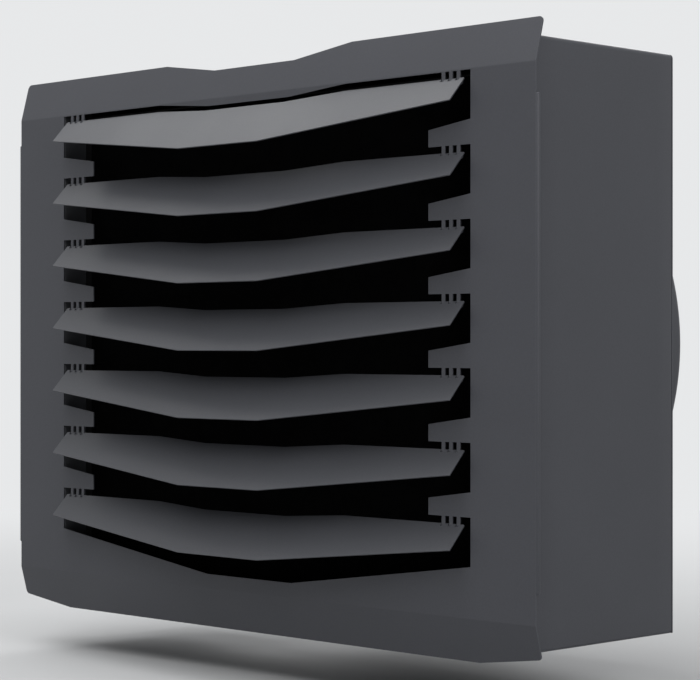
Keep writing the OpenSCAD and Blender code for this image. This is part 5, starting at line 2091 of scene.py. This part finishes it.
@dataclass(frozen=True)
class Studio:
    """A pale floor under the unit, a pale surround and soft lamps."""

    floor_gap: float = 0.05
    floor_rings: tuple[float, ...] = (0.001, 1.0, 3.0, 14.0)
    floor_fade: tuple[float, float] = (0.75, 2.4)
    floor_tone: Colour = (0.52, 0.525, 0.53)
    pale: Colour = (0.80, 0.81, 0.82)
    fill: float = 0.25
    fill_tone: Colour = (0.96, 0.98, 1.0)
    lamps: tuple[Lamp, ...] = (
        Lamp("overhead", (0.0, -0.3, 2.6), (0.0, 0.0, 0.05), 1.6, 35.8),
        Lamp("high_front", (0.2, -1.9, 2.3), (0.0, 0.0, 0.0), 1.6, 41.1),
        Lamp("upper_left", (-1.9, 0.25, 2.4), (0.0, -0.1, 0.2), 1.4, 16.5),
        Lamp("side", (2.6, -0.5, 1.2), (0.1, 0.1, 0.0), 1.8, 30.2),
        Lamp("rear", (-1.6, 2.6, 1.4), (0.0, 0.2, 0.0), 1.8, 50.0),
    )

    def surround(self) -> None:
        """The world: pale where it is seen or mirrored, and an even fill light."""
        world = bpy.data.worlds.new("surround")
        bpy.context.scene.world = world
        world.use_nodes = True
        tree = world.node_tree
        tree.nodes.clear()
        seen = tree.nodes.new("ShaderNodeBackground")
        seen.inputs["Color"].default_value = (*self.pale, 1.0)
        light = tree.nodes.new("ShaderNodeBackground")
        light.inputs["Color"].default_value = (*self.fill_tone, 1.0)
        light.inputs["Strength"].default_value = self.fill
        mix = tree.nodes.new("ShaderNodeMixShader")
        tree.links.new(self.looks(tree), mix.inputs[0])
        tree.links.new(light.outputs[0], mix.inputs[1])
        tree.links.new(seen.outputs[0], mix.inputs[2])
        output = tree.nodes.new("ShaderNodeOutputWorld")
        tree.links.new(mix.outputs[0], output.inputs[0])

    def looks(self, tree: bpy.types.NodeTree) -> bpy.types.NodeSocket:
        """A mask that is 1 for a ray from the camera, a mirror or a glass, and 0 for light.

        Args:
            tree: The nodes that take the mask.

        Returns:
            The mask.
        """
        rays = tree.nodes.new("ShaderNodeLightPath")
        total = rays.outputs["Is Camera Ray"]
        for name in ("Is Glossy Ray", "Is Transmission Ray"):
            add = tree.nodes.new("ShaderNodeMath")
            add.operation = "MAXIMUM"
            tree.links.new(total, add.inputs[0])
            tree.links.new(rays.outputs[name], add.inputs[1])
            total = add.outputs[0]
        return total

    def floor_material(self) -> bpy.types.Material:
        """A faintly clouded grey that turns into the surround's glow away from the unit.

        Returns:
            The material.
        """
        graph = Graph("floor_finish")
        cloud = graph.span(graph.noise(400, 3), 0.985, 1.015)
        graph.finish(Base_Color=graph.lit((*self.floor_tone, 1.0), cloud), Roughness=0.85,
                     Specular_IOR_Level=0.1)
        graph.bump(graph.noise(3.0, 2), 0.05, 0.1)
        flat = graph.add("ShaderNodeVectorMath", {0: graph.place, 1: (1.0, 1.0, 0.0)},
                         operation="MULTIPLY").outputs[0]
        away = graph.add("ShaderNodeVectorMath", {0: flat}, operation="LENGTH").outputs["Value"]
        near, far = self.floor_fade
        past = graph.add("ShaderNodeMapRange", {"Value": away, "From Min": near, "From Max": far},
                         interpolation_type="SMOOTHSTEP").outputs[0]
        share = graph.add("ShaderNodeMath", {0: past, 1: self.looks(graph.tree)},
                          operation="MULTIPLY").outputs[0]
        glow = graph.add("ShaderNodeEmission", {"Color": (*self.pale, 1.0)})
        mix = graph.add("ShaderNodeMixShader", {
            0: share, 1: graph.shader.outputs[0], 2: glow.outputs[0]})
        graph.feed(graph.tree.nodes["Material Output"].inputs[0], mix.outputs[0])
        return graph.material

    def floor(self) -> None:
        """A round floor that keeps the shadow and fades into the surround."""
        low = (CAD_BOX[0].z - self.floor_gap - ORIGIN[2]) / MM
        line = np.array([(radius / MM, low) for radius in self.floor_rings])
        mesh = Shape().turn(line, Axis.Z, loop=False).mesh("floor", (0, 0, 1))
        mesh.materials.append(self.floor_material())
        floor = bpy.data.objects.new("floor", mesh)
        bpy.context.scene.collection.objects.link(floor)
        floor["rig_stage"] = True

    def build(self) -> None:
        """Sets the stage and the way its light is shown."""
        bpy.context.scene.view_settings.view_transform = "Standard"
        self.surround()
        self.floor()
        for lamp in self.lamps:
            lamp.build()


def dress_carried_over() -> None:
    """Gives each CAD node that still shows its finish."""
    for node, finish in CARRIED_OVER.items():
        finish.dress(frame["nodes"][node])
        log.info("node %s keeps its CAD shape, %s", node, finish.slot.value)


def write_sizes() -> None:
    """Gathers the CAD model's box and the visual model's box, in metres, as plain lists."""
    boxes = {"cad": CAD_BOX, "visual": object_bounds()}
    plain = {key: [list(corner) for corner in box] for key, box in boxes.items()}


def main() -> None:
    """Builds the stage and the heater, and reports each piece."""
    logging.basicConfig(level=logging.INFO, format="%(message)s")
    PhotoView().build()
    Studio().build()
    front = FrontFrame()
    for part in (front, Louvers(front), Casing(front), Coil(), Fan(), TerminalBox(), Fasteners()):
        for piece in part.pieces():
            made = piece.build()
            log.info("%s: %d faces, %s", made.name, len(made.data.polygons),
                     piece.finish.slot.value)
    dress_carried_over()
    write_sizes()


if __name__ == "__main__":
    main()
